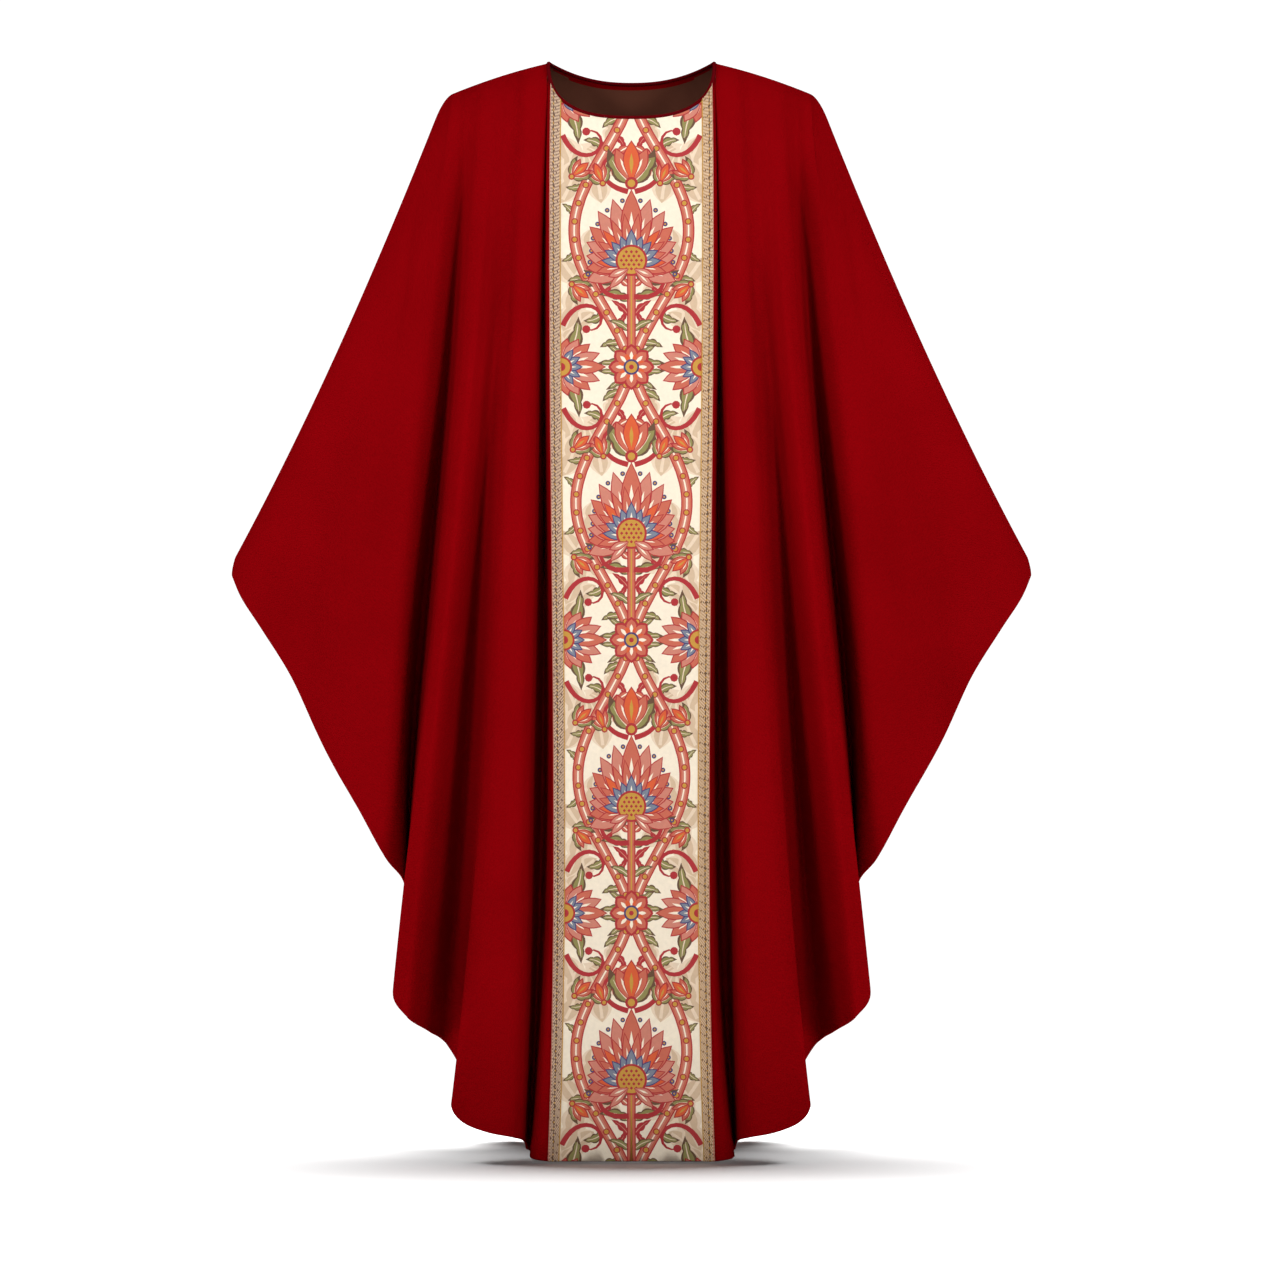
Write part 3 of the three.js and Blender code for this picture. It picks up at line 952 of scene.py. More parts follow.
RED_WOOL = ClothFinish(
    "red wool", colour=(139, 3, 10), shaded=(122, 2, 7), roughness=0.85, sheen=0.12,
    threads_per_metre=620, thread_height=0.5)
BROWN_LINING = ClothFinish(
    "brown lining", colour=(118, 70, 54), shaded=(94, 54, 42), roughness=0.7, sheen=0.05,
    threads_per_metre=900, thread_height=0.2)
BINDING = ClothFinish(
    "binding", colour=(104, 7, 14), shaded=(80, 4, 10), roughness=0.7, sheen=0.1,
    threads_per_metre=900, thread_height=0.25)
BROCADE = FiguredFinish("brocade", roughness=0.62, threads_per_metre=1100, thread_height=0.35)
GOLD_BRAID = FiguredFinish("gold braid", roughness=0.45, threads_per_metre=900, thread_height=0.4,
                           metallic=0.15)
STUDIO_FLOOR = StudioFinish("studio floor", colour=(238, 238, 238), glow=0.06)


@dataclass
class Finishes:
    """Every material of the garment and its floor."""

    groups: EffectGroups = field(default_factory=EffectGroups)

    def __post_init__(self) -> None:
        """Builds the materials."""
        self.cloth = RED_WOOL.build(self.groups)
        self.lining = BROWN_LINING.build(self.groups)
        self.binding = BINDING.build(self.groups)
        self.brocade = BROCADE.build(self.groups)
        self.galloon = GOLD_BRAID.build(self.groups)
        self.studio = STUDIO_FLOOR.build()


# ---------------------------------------------------------------- meshes


@dataclass
class MeshDraft:
    """Points and faces of a piece before it becomes a Blender object."""

    points: list[Array] = field(default_factory=list)
    faces: list[Array] = field(default_factory=list)
    materials: list[Array] = field(default_factory=list)
    colours: list[Array] = field(default_factory=list)
    coordinates: list[Array] = field(default_factory=list)
    count: int = 0

    def add_points(self, points: Array, coordinates: Array) -> int:
        """Adds points.

        Args:
            points: Points in millimetres.
            coordinates: Where each lies on the flat cloth, in millimetres.

        Returns:
            The index of the first one.
        """
        first = self.count
        self.points.append(points.reshape(-1, 3))
        self.coordinates.append(coordinates.reshape(-1, 2))
        self.count += len(self.points[-1])
        return first

    def add_faces(self, faces: Array, material: int = 0, colours: Array | None = None) -> None:
        """Adds faces of three or four corners.

        Args:
            faces: Point indices, one face to a row.
            material: Index of their material.
            colours: Linear colour of each face, if the piece carries thread colours.
        """
        self.faces.append(faces)
        self.materials.append(np.full(len(faces), material))
        if colours is None:
            colours = np.ones((len(faces), 4))
        self.colours.append(colours)

    def finish(self, name: str, materials: list[bpy.types.Material],
               figured: bool = False) -> bpy.types.Object:
        """Makes the Blender object.

        Args:
            name: Its name.
            materials: Its materials.
            figured: Whether it carries thread colours.

        Returns:
            The object.
        """
        points = np.concatenate(self.points) * MM
        corners = np.concatenate([f.reshape(-1) for f in self.faces]).astype(np.int32)
        sizes = np.concatenate([np.full(len(f), f.shape[1]) for f in self.faces]).astype(np.int32)
        starts = np.concatenate([[0], np.cumsum(sizes)[:-1]]).astype(np.int32)
        mesh = bpy.data.meshes.new(name)
        mesh.vertices.add(len(points))
        mesh.vertices.foreach_set("co", points.reshape(-1).astype(np.float32))
        mesh.loops.add(len(corners))
        mesh.loops.foreach_set("vertex_index", corners)
        mesh.polygons.add(len(sizes))
        mesh.polygons.foreach_set("loop_start", starts)
        mesh.polygons.foreach_set("material_index", np.concatenate(self.materials).astype(np.int32))
        mesh.update(calc_edges=True)
        mesh.polygons.foreach_set("use_smooth", np.ones(len(sizes), dtype=bool))
        flat = np.concatenate(self.coordinates)[corners] * MM
        layer = mesh.uv_layers.new(name="cloth")
        layer.data.foreach_set("uv", flat.reshape(-1).astype(np.float32))
        if figured:
            shades = np.repeat(np.concatenate(self.colours), sizes, axis=0)
            threads = mesh.color_attributes.new("thread", "FLOAT_COLOR", "CORNER")
            threads.data.foreach_set("color", shades.reshape(-1).astype(np.float32))
        for material in materials:
            mesh.materials.append(material)
        mesh.validate()
        piece = bpy.data.objects.new(name, mesh)
        bpy.context.scene.collection.objects.link(piece)
        return piece


def grid_quads(first: int, columns: int, rows: int, flipped: bool = False) -> Array:
    """Faces of a grid whose points run down each column in turn.

    Args:
        first: Index of its first point.
        columns: How many columns it has.
        rows: How many rows it has.
        flipped: Whether the faces look the other way.

    Returns:
        One row of four point indices for each face.
    """
    i, j = np.meshgrid(np.arange(columns - 1), np.arange(rows - 1), indexing="ij")
    a = first + i * rows + j
    quads = np.stack([a, a + 1, a + rows + 1, a + rows], axis=-1).reshape(-1, 4)
    return quads[:, ::-1] if flipped else quads


def strip_quads(first: Array, second: Array) -> Array:
    """Faces between two rows of points.

    Args:
        first: Indices of the first row.
        second: Indices of the second row.

    Returns:
        One row of four point indices for each face.
    """
    return np.stack([first[:-1], first[1:], second[1:], second[:-1]], axis=-1)


def edge_walls(first: int, second: int, columns: int, rows: int) -> list[Array]:
    """Faces that close the four edges between two grids of the same size.

    Args:
        first: Index of the outer grid's first point.
        second: Index of the inner grid's first point.
        columns: How many columns each has.
        rows: How many rows each has.

    Returns:
        The faces of each edge.
    """
    index = np.arange(columns * rows).reshape(columns, rows)
    edges = (index[:, 0][::-1], index[:, -1], index[0, :], index[-1, :][::-1])
    return [strip_quads(first + edge, second + edge)[:, ::-1] for edge in edges]


def unit(vectors: Array) -> Array:
    """Vectors of the same directions, one unit long."""
    return vectors / np.linalg.norm(vectors, axis=1, keepdims=True)


def dress(piece: bpy.types.Object, node: str) -> None:
    """Makes a piece stand for a node of the model: hangs it from the root body and hides the node.

    Args:
        piece: The piece.
        node: The node that it replaces.
    """
    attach(piece, "root")
    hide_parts(node)
    LOG.info("%s: %d faces in place of %s", piece.name, len(piece.data.polygons), node)


@dataclass
class ClothShell:
    """A panel as a thin shell with a lining side faced at the neck, a turned hem and a pressed seam."""

    panel: Panel
    name: str
    node: str
    face_size: float = 5.6
    measured_at: tuple[float, ...] = (0.62, 0.85, 1.0)
    trials: int = 13
    rows: int = 104
    crowding: float = 1.6
    thickness: float = 1.1
    hem_thickness: float = 2.0
    hem_width: float = 22.0
    hem_step: tuple[float, float] = (-1.5, 0.5)
    hem_margin: float = 12.0
    hem_margin_share: float = 0.08
    hem_rows: tuple[float, ...] = (0.5, 0.14, 0.0)
    seam_start: float = 6.0
    seam_dip: float = 0.8
    seam_reach: float = 3.5
    facing_width: float = 10.0
    widths_at: float = 0.7

    def places(self) -> Array:
        """Places of the columns: close together where the cloth folds.

        Returns:
            Places across the panel.
        """
        panel = self.panel
        found = []
        for index in range(panel.count - 1):
            trial = np.linspace(index, index + 1.0, self.trials)
            lengths = []
            for level in self.measured_at:
                points = panel.base(trial, np.full_like(trial, level))
                lengths.append(np.linalg.norm(np.diff(points, axis=0), axis=1).sum())
            steps = max(2, round(max(lengths) / self.face_size))
            found.append(index + np.arange(steps) / steps)
        found.append(np.array([panel.count - 1.0]))
        return np.concatenate(found)

    def downs(self, places: Array) -> Array:
        """Shares of the way down of the rows of every column, with close rows at the hem.

        Args:
            places: Places across the panel.

        Returns:
            One row of shares for each column.
        """
        panel = self.panel
        start = panel.down_at_rim(places)
        columns = panel.columns(places)
        length = panel.ridge.height(columns[:, 0]) - columns[:, HEM]
        margin = np.minimum(self.hem_margin / length, self.hem_margin_share)
        share = (np.arange(self.rows + 1) / self.rows) ** self.crowding
        main = start[:, None] + (1.0 - margin - start)[:, None] * share[None, :]
        closing = 1.0 - margin[:, None] * np.array(self.hem_rows)[None, :]
        return np.concatenate([main, closing], axis=1)

    def build(self, finishes: Finishes) -> bpy.types.Object:
        """Builds and dresses the shell.

        Args:
            finishes: The garment's materials.

        Returns:
            The piece.
        """
        panel = self.panel
        places = self.places()
        downs = self.downs(places)
        columns, rows = downs.shape
        grid_places = np.repeat(places[:, None], rows, axis=1)
        outer, normals = panel.surface(grid_places, downs)
        tops = panel.columns(places)[:, 0]
        steps_down = np.linalg.norm(np.diff(outer, axis=1), axis=2)
        fall = np.concatenate([np.zeros((columns, 1)), np.cumsum(steps_down, axis=1)], axis=1)
        neck = panel.ridge.neck_half_width
        seam = smooth(neck, neck + self.seam_start, np.abs(tops))[:, None]
        dip = self.seam_dip * seam * np.exp(-((fall / self.seam_reach) ** 2))
        outer = outer - normals * dip[..., None]
        to_hem = fall[:, -1:] - fall
        turned = 1.0 - smooth(self.hem_width + self.hem_step[0], self.hem_width + self.hem_step[1], to_hem)
        thickness = self.thickness + (self.hem_thickness - self.thickness) * turned
        inner = outer - normals * thickness[..., None]
        lowest = int(np.argmin(np.abs(places - panel.middle)))
        level = outer[:, int(rows * self.widths_at)]
        width = np.concatenate([[0.0], np.cumsum(np.linalg.norm(np.diff(level, axis=0), axis=1))])
        width = width - width[lowest]
        flat = np.stack([np.repeat(width[:, None], rows, axis=1), fall - fall[:, -1:]], axis=-1)
        draft = MeshDraft()
        first = draft.add_points(outer, flat)
        second = draft.add_points(inner, flat)
        draft.add_faces(grid_quads(first, columns, rows))
        inside = grid_quads(second, columns, rows, flipped=True)
        of_neck = (fall < self.facing_width) & (np.abs(tops) < neck)[:, None]
        faced = of_neck.reshape(-1)[inside - second].all(axis=1)
        draft.add_faces(inside[faced])
        draft.add_faces(inside[~faced], material=1)
        for walls in edge_walls(first, second, columns, rows):
            draft.add_faces(walls)
        piece = draft.finish(self.name, [finishes.cloth, finishes.lining])
        dress(piece, self.node)
        return piece


# ---------------------------------------------------------------- the brocade's drawing


class Triad(Enum):
    """Colours that go together in one motif: outline, filling and vein."""

    RED = (Thread.RED, Thread.CORAL, Thread.CREAM)
    ROSE = (Thread.RED, Thread.ROSE, Thread.CREAM)
    ORANGE = (Thread.RED, Thread.ORANGE, Thread.GOLD)
    DEEP = (Thread.RED, Thread.RED, Thread.ROSE)
    INDIGO = (Thread.INDIGO, Thread.SLATE, Thread.CREAM)
    OLIVE = (Thread.BROWN, Thread.OLIVE, Thread.SAND)
    PALE = (Thread.SAND, Thread.BEIGE, Thread.SAND)

    def __init__(self, outline: Thread, filling: Thread, vein: Thread) -> None:
        """Names the three threads.

        Args:
            outline: Thread of the outline.
            filling: Thread of the filling.
            vein: Thread of the vein.
        """
        self.outline = outline
        self.filling = filling
        self.vein = vein


@dataclass
class Drawing:
    """A flat drawing of closed shapes in thread colours: later shapes lie over earlier ones."""

    shapes: list[tuple[Array, Thread]] = field(default_factory=list)
    petal_steps: int = 8
    petal_inset: float = 1.3
    lobe_steps: int = 5
    lobe_waist: float = 0.64
    lobe_swell: float = 0.36
    leaf_filling: float = 0.68
    scroll_steps: int = 14

    def add(self, outline: Array, thread: Thread, paired: bool = True) -> None:
        """Adds a shape and, if asked, its mirror image on the other side of the middle.

        Args:
            outline: Corners, one to a row.
            thread: Its colour.
            paired: Whether it has a mirror image.
        """
        self.shapes.append((outline, thread))
        if paired:
            self.shapes.append((outline * np.array([-1.0, 1.0]), thread))

    def petal(self, root: Point, angle: float, length: float, width: float, thread: Thread,
              belly: float = 0.55, paired: bool = True) -> None:
        """Adds a pointed petal.

        Args:
            root: Where it grows from.
            angle: Where it points, in degrees from straight up.
            length: Its length.
            width: Its width.
            thread: Its colour.
            belly: Where along it it is widest.
            paired: Whether it has a mirror image.
        """
        share = np.linspace(0.0, 1.0, self.petal_steps)
        half = width / 2.0 * np.sin(np.pi * share ** (math.log(0.5) / math.log(belly)))
        side = np.concatenate([half, -half[-2:0:-1]])
        along = np.concatenate([share, share[-2:0:-1]]) * length
        turn = math.radians(angle)
        x = root[0] + along * math.sin(turn) + side * math.cos(turn)
        z = root[1] - along * math.cos(turn) + side * math.sin(turn)
        self.add(np.stack([x, z], axis=-1), thread, paired)

    def outlined_petal(self, root: Point, angle: float, length: float, width: float,
                       triad: Triad, paired: bool = True) -> None:
        """Adds a petal with an outline and a paler vein.

        Args:
            root: Where it grows from.
            angle: Where it points, in degrees from straight up.
            length: Its length.
            width: Its width.
            triad: Colours of the outline, the petal and the vein.
            paired: Whether it has a mirror image.
        """
        self.petal(root, angle, length, width, triad.outline, paired=paired)
        turn = math.radians(angle)
        inset = self.petal_inset
        start = (root[0] + inset * math.sin(turn), root[1] - inset * math.cos(turn))
        self.petal(start, angle, length - 2.6 * inset, width - 1.9 * inset, triad.filling, paired=paired)
        vein = (root[0] + 0.2 * length * math.sin(turn), root[1] - 0.2 * length * math.cos(turn))
        self.petal(vein, angle, length * 0.5, width * 0.22, triad.vein, paired=paired)

    def leaf(self, root: Point, angle: float, length: float, width: float, triad: Triad,
             bend: float = 0.0, lobes: int = 3, paired: bool = True) -> None:
        """Adds a lobed leaf with an outline and a vein.

        Args:
            root: Where it grows from.
            angle: Where it sets off, in degrees from straight up.
            length: Its length.
            width: Its width.
            triad: Colours of the outline, the leaf and the vein.
            bend: How far it turns to its tip, in degrees.
            lobes: How many lobes each side has.
            paired: Whether it has a mirror image.
        """
        steps = self.lobe_steps * lobes
        share = np.linspace(0.0, 1.0, steps + 1)
        heading = np.radians(angle + bend * share)
        moves = np.stack([np.sin(heading), -np.cos(heading)], axis=-1) * length / steps
        spine = np.array(root) + np.concatenate([[[0.0, 0.0]], np.cumsum(moves[:-1], axis=0)])
        side = np.stack([np.cos(heading), np.sin(heading)], axis=-1)
        lobed = self.lobe_waist + self.lobe_swell * np.abs(np.sin(np.pi * lobes * share)) ** 0.7
        half = (width / 2.0 * np.sin(np.pi * share**0.75) * lobed)[:, None]
        for thread, size, last in ((triad.outline, 1.0, steps + 1),
                                   (triad.filling, self.leaf_filling, steps - 1)):
            first, second = spine + side * half * size, spine - side * half * size
            self.add(np.concatenate([first[:last], second[1:last - 1][::-1]]), thread, paired)
        self.stroke(spine[1:-2:2], max(width * 0.12, 1.0), triad.vein, paired)

    def disc(self, centre: Point, radius: float, thread: Thread, paired: bool = True,
             corners: int = 14) -> None:
        """Adds a round dot.

        Args:
            centre: Its centre.
            radius: Its radius.
            thread: Its colour.
            paired: Whether it has a mirror image.
            corners: How many corners it has.
        """
        angle = np.arange(corners) * 2.0 * np.pi / corners
        ring = np.stack([centre[0] + radius * np.sin(angle), centre[1] + radius * np.cos(angle)], axis=-1)
        self.add(ring, thread, paired)

    def stroke(self, path: Array, width: float, thread: Thread, paired: bool = True,
               taper: bool = True) -> None:
        """Adds a line of some width along a path.

        Args:
            path: Points of the path.
            width: Its width.
            thread: Its colour.
            paired: Whether it has a mirror image.
            taper: Whether it narrows to its end.
        """
        ahead = unit(np.gradient(path, axis=0))
        side = np.stack([-ahead[:, 1], ahead[:, 0]], axis=-1)
        share = np.linspace(0.0, 1.0, len(path))
        half = width / 2.0 * (np.sqrt(1.02 - share) if taper else np.ones_like(share))
        outline = np.concatenate([path + side * half[:, None], (path - side * half[:, None])[::-1]])
        self.add(outline, thread, paired)

    def scroll(self, start: Point, angle: float, length: float, curl: float, width: float,
               thread: Thread) -> None:
        """Adds a pair of tendrils that curl up at their ends.

        Args:
            start: Where they start.
            angle: Where they set off, in degrees from straight up.
            length: Their length.
            curl: How far they turn in all, in degrees.
            width: Their width.
            thread: Their colour.
        """
        steps = self.scroll_steps
        share = (np.arange(steps) + 0.5) / steps
        heading = np.radians(angle + curl * share**1.7)
        moves = np.stack([np.sin(heading), -np.cos(heading)], axis=-1) * length / steps
        path = np.concatenate([[start], np.array(start) + np.cumsum(moves, axis=0)])
        self.stroke(path, width, thread)
        self.disc((path[-1][0], path[-1][1]), width * 0.75, thread, corners=9)


@dataclass
class OgeeBrocade:
    """A traditional ogee brocade: leafy frames with a palmette in each and rosettes between them."""

    repeat: float = 330.0
    half_width: float = 84.0
    frame_reach: float = 66.0
    frame_steps: int = 46
    palmette_drop: float = 40.0

    def frame_path(self, top: float) -> Array:
        """One side of an ogee frame.

        Args:
            top: Where the frame starts.

        Returns:
            Points of the path.
        """
        share = np.linspace(0.0, 1.0, self.frame_steps)
        swing = 0.5 - 0.5 * np.cos(2.0 * np.pi * share)
        return np.stack([self.frame_reach * swing**0.82 + 2.0, top + share * self.repeat], axis=-1)

    def draw(self, start: float, end: float) -> Drawing:
        """Draws the whole band.

        Args:
            start: Where the band starts.
            end: Where it ends.

        Returns:
            The drawing.
        """
        drawing = Drawing()
        last = math.ceil((end - start) / self.repeat)
        tops = [start + number * self.repeat for number in range(-1, last + 1)]
        for top in tops:
            self.ground(drawing, top)
        for top in tops:
            self.frame(drawing, top)
        for top in tops:
            heart = top + 0.5 * self.repeat + self.palmette_drop
            self.stem(drawing, heart)
            self.palmette(drawing, (0.0, heart))
            self.spray(drawing, top)
            self.side_flower(drawing, top)
            self.rosette(drawing, (0.0, top))
        return drawing

    def ground(self, drawing: Drawing, top: float) -> None:
        """Draws the pale leaves that shade the ground.

        Args:
            drawing: The drawing.
            top: Where this repeat starts.
        """
        for x, height, angle, length, width in (
            (8, 0.30, 40, 66, 34), (82, 0.15, -165, 84, 36), (36, 0.40, 4, 72, 34),
            (84, 0.40, -30, 78, 36), (46, 0.49, 168, 60, 30), (84, 0.60, -150, 86, 36),
            (12, 0.74, 62, 54, 30), (44, 0.80, 120, 58, 28), (82, 0.87, -28, 84, 34),
            (30, 0.18, -30, 50, 26),
        ):
            drawing.leaf((x, top + height * self.repeat), angle, length, width, Triad.PALE, bend=30)

    def frame(self, drawing: Drawing, top: float) -> None:
        """Draws the ogee frame of one repeat, with its beads and leaves.

        Args:
            drawing: The drawing.
            top: Where this repeat starts.
        """
        path = self.frame_path(top)
        for step, angle, bend, length in (
            (4, 96, 50, 26), (9, 40, 60, 28), (15, 120, -50, 22), (20, 20, 50, 20),
            (26, 150, -50, 20), (31, 60, 60, 24), (36, 140, -60, 28), (41, 84, 40, 26),
        ):
            root = (path[step][0] + 3.0, path[step][1])
            drawing.leaf(root, angle, length, length * 0.44, Triad.OLIVE, bend)
        for step, angle, bend in ((7, 236, -60), (13, 262, -70), (33, 276, 70), (38, 300, 60)):
            drawing.leaf((path[step][0] - 3.0, path[step][1]), angle, 21.0, 9.0, Triad.DEEP, bend, 2)
        for width, thread in ((14.0, Thread.RED), (11.0, Thread.CORAL), (6.4, Thread.ROSE),
                              (1.8, Thread.CREAM)):
            drawing.stroke(path, width, thread, taper=False)
        for at in path[3:-2:3]:
            drawing.disc((at[0], at[1]), 4.2, Thread.RED, corners=9)
            drawing.disc((at[0], at[1]), 2.8, Thread.GOLD, corners=8)

    def spray(self, drawing: Drawing, top: float) -> None:
        """Draws the flower spray in the upper part of a frame.

        Args:
            drawing: The drawing.
            top: Where this repeat starts.
        """
        for sign, height in ((1, 104.0), (-1, 64.0)):
            drawing.leaf((3.0, top + height), 90 - sign * 22, 34.0, 13.0, Triad.RED, -sign * 40, 3)
        drawing.scroll((4.0, top + 118.0), 76.0, 92.0, -270.0, 6.6, Thread.RED)
        self.bud(drawing, (34.0, top + 108.0), 22.0, 27.0)
        self.bud(drawing, (0.0, top + 108.0), 0.0, 52.0, paired=False)

    def stem(self, drawing: Drawing, height: float) -> None:
        """Draws the stem under a palmette, with its leaves and volutes.

        Args:
            drawing: The drawing.
            height: Where the stem starts.
        """
        for down, angle, length, bend, triad in ((82, 40, 30, 50, Triad.OLIVE), (64, 34, 30, 30, Triad.DEEP),
                                                 (46, 50, 40, 60, Triad.OLIVE), (28, 44, 34, 30, Triad.RED)):
            drawing.leaf((2.0, height + down), angle, length, length * 0.34, triad, bend)
        stalk = np.stack([np.zeros(12), np.linspace(height - 4.0, height + 108.0, 12)], axis=-1)
        for width, thread in ((10.5, Thread.RED), (7.6, Thread.CORAL), (1.8, Thread.GOLD)):
            drawing.stroke(stalk, width, thread, paired=False, taper=False)
        drawing.scroll((3.0, height + 40.0), 96.0, 84.0, -270.0, 6.6, Thread.RED)

    def palmette(self, drawing: Drawing, root: Point) -> None:
        """Draws a fan-shaped palmette.

        Args:
            drawing: The drawing.
            root: The place that its petals spread from.
        """
        drawing.leaf((3.0, root[1] + 8.0), 122, 58.0, 22.0, Triad.OLIVE, -70)
        for number, angle in enumerate((112, 96, 80, 64, 48, 32, 16)):
            length = 54.0 + 30.0 * math.cos(math.radians(angle)) ** 2
            drawing.outlined_petal(root, angle, length, 23.0, Triad.RED if number % 3 == 1 else Triad.ROSE)
            turn = math.radians(angle - 8.0)
            bead = (root[0] + (length - 5.0) * math.sin(turn), root[1] - (length - 5.0) * math.cos(turn))
            drawing.disc(bead, 3.0, Thread.INDIGO, corners=9)
            drawing.disc(bead, 1.3, Thread.GOLD, corners=6)
        drawing.outlined_petal(root, 0, 90.0, 26.0, Triad.RED, paired=False)
        for number, angle in enumerate((104, 88, 72, 56, 40, 24, 8)):
            length = 42.0 + 20.0 * math.cos(math.radians(angle)) ** 2
            drawing.outlined_petal(root, angle, length, 13.0, Triad.ORANGE if number % 3 == 1 else Triad.RED)
        for angle in (84, 63, 42, 21):
            drawing.outlined_petal(root, angle, 36.0, 12.5, Triad.INDIGO)
        drawing.outlined_petal(root, 0, 42.0, 14.0, Triad.INDIGO, paired=False)
        drawing.disc((0.0, root[1] - 4.0), 19.0, Thread.RED, paired=False, corners=26)
        drawing.disc((0.0, root[1] - 4.0), 16.4, Thread.GOLD, paired=False, corners=26)
        self.seeds(drawing, root[1] - 4.0)
        for angle, length in ((136, 34), (112, 27)):
            drawing.outlined_petal((3.0, root[1] + 6.0), angle, length, 10.5, Triad.ROSE)

    def seeds(self, drawing: Drawing, middle: float) -> None:
        """Draws the small lozenges in the heart of a palmette.

        Args:
            drawing: The drawing.
            middle: Height of the heart's centre.
        """
        pitch = 6.0
        for row in range(-2, 3):
            for column in range(3):
                x = column * pitch + (pitch / 2.0 if row % 2 else 0.0)
                z = middle + row * pitch * 0.86
                if math.hypot(x, z - middle) < 14.0:
                    drawing.disc((x, z), 2.1, Thread.RED, paired=x > 0, corners=4)

    def side_flower(self, drawing: Drawing, top: float) -> None:
        """Draws the half flower, the scrolls and the buds between frames at each edge of the band.

        Args:
            drawing: The drawing.
            top: Height of the place where two frames meet.
        """
        root = (self.half_width, top)
        for sign in (-1, 1):
            drawing.leaf((self.half_width - 6.0, top + sign * 10.0), -90 - sign * 58, 54.0, 19.0, Triad.OLIVE,
                         -sign * 34)
            drawing.scroll((self.half_width - 2.0, top + sign * 50.0), -90 - sign * 64, 92.0, sign * 270, 6.6,
                           Thread.RED)
            self.bud(drawing, (self.half_width - 13.0, top + sign * 100.0), -90 + sign * 40, 27.0)
        for number, offset in enumerate((78, 58, 39, 20, 0)):
            for sign in (-1, 1):
                drawing.outlined_petal(root, -90 + sign * offset, 36.0 + number * 4.5, 17.0,
                                       Triad.ROSE if number % 2 else Triad.RED)
        for offset in (-56, -28, 0, 28, 56):
            drawing.outlined_petal(root, -90 + offset, 26.0, 10.0, Triad.INDIGO)
        drawing.disc(root, 13.0, Thread.RED, corners=20)
        drawing.disc(root, 10.6, Thread.GOLD, corners=18)
        drawing.disc(root, 5.0, Thread.RED, corners=12)

    def bud(self, drawing: Drawing, at: Point, angle: float, length: float, paired: bool = True) -> None:
        """Draws an opening bud between two leaves.

        Args:
            drawing: The drawing.
            at: Where it sits.
            angle: Where it points, in degrees from straight up.
            length: Its length.
            paired: Whether it has a mirror image.
        """
        for turn in (-52, 52):
            drawing.leaf(at, angle + turn, length, length * 0.4, Triad.OLIVE, -turn * 0.8, 2, paired)
        for turn in (-24, 24):
            drawing.outlined_petal(at, angle + turn, length * 0.9, length * 0.34, Triad.RED, paired)
        drawing.outlined_petal(at, angle, length, length * 0.4, Triad.ORANGE, paired)
        drawing.disc(at, length * 0.15, Thread.RED, paired, corners=12)
        drawing.disc(at, length * 0.09, Thread.GOLD, paired, corners=10)

    def rosette(self, drawing: Drawing, centre: Point) -> None:
        """Draws the rosette where two frames meet in the middle of the band.

        Args:
            drawing: The drawing.
            centre: Its centre.
        """
        for angle in (34, 70, 110, 146):
            drawing.leaf(centre, angle, 42.0, 13.0, Triad.OLIVE, 30 if angle < 90 else -30)
        for number in range(8):
            drawing.petal(centre, number * 45.0, 28.0, 17.0, Thread.RED, 0.68, paired=False)
        for number in range(8):
            angle = number * 45.0
            drawing.petal(centre, angle, 25.0, 12.6, Thread.CORAL, 0.68, paired=False)
            drawing.petal(centre, angle, 19.0, 4.4, Thread.CREAM, 0.7, paired=False)
            drawing.petal(centre, angle + 22.5, 17.0, 6.4, Thread.ORANGE, 0.7, paired=False)
        for radius, thread in ((9.5, Thread.INDIGO), (7.2, Thread.GOLD), (3.0, Thread.RED)):
            drawing.disc(centre, radius, thread, paired=False, corners=18)


INSIDE = 1  # delaunay_2d_cdt's way of keeping the triangles inside the outlines only


def winds_forward(corners: Array) -> bool:
    """Whether a closed outline's corners run from the first axis towards the second.

    Args:
        corners: Its corners, one to a row.

    Returns:
        True if they do.
    """
    x, z = corners[:, 0], corners[:, 1]
    return bool(np.sum(x * np.roll(z, -1) - z * np.roll(x, -1)) > 0)


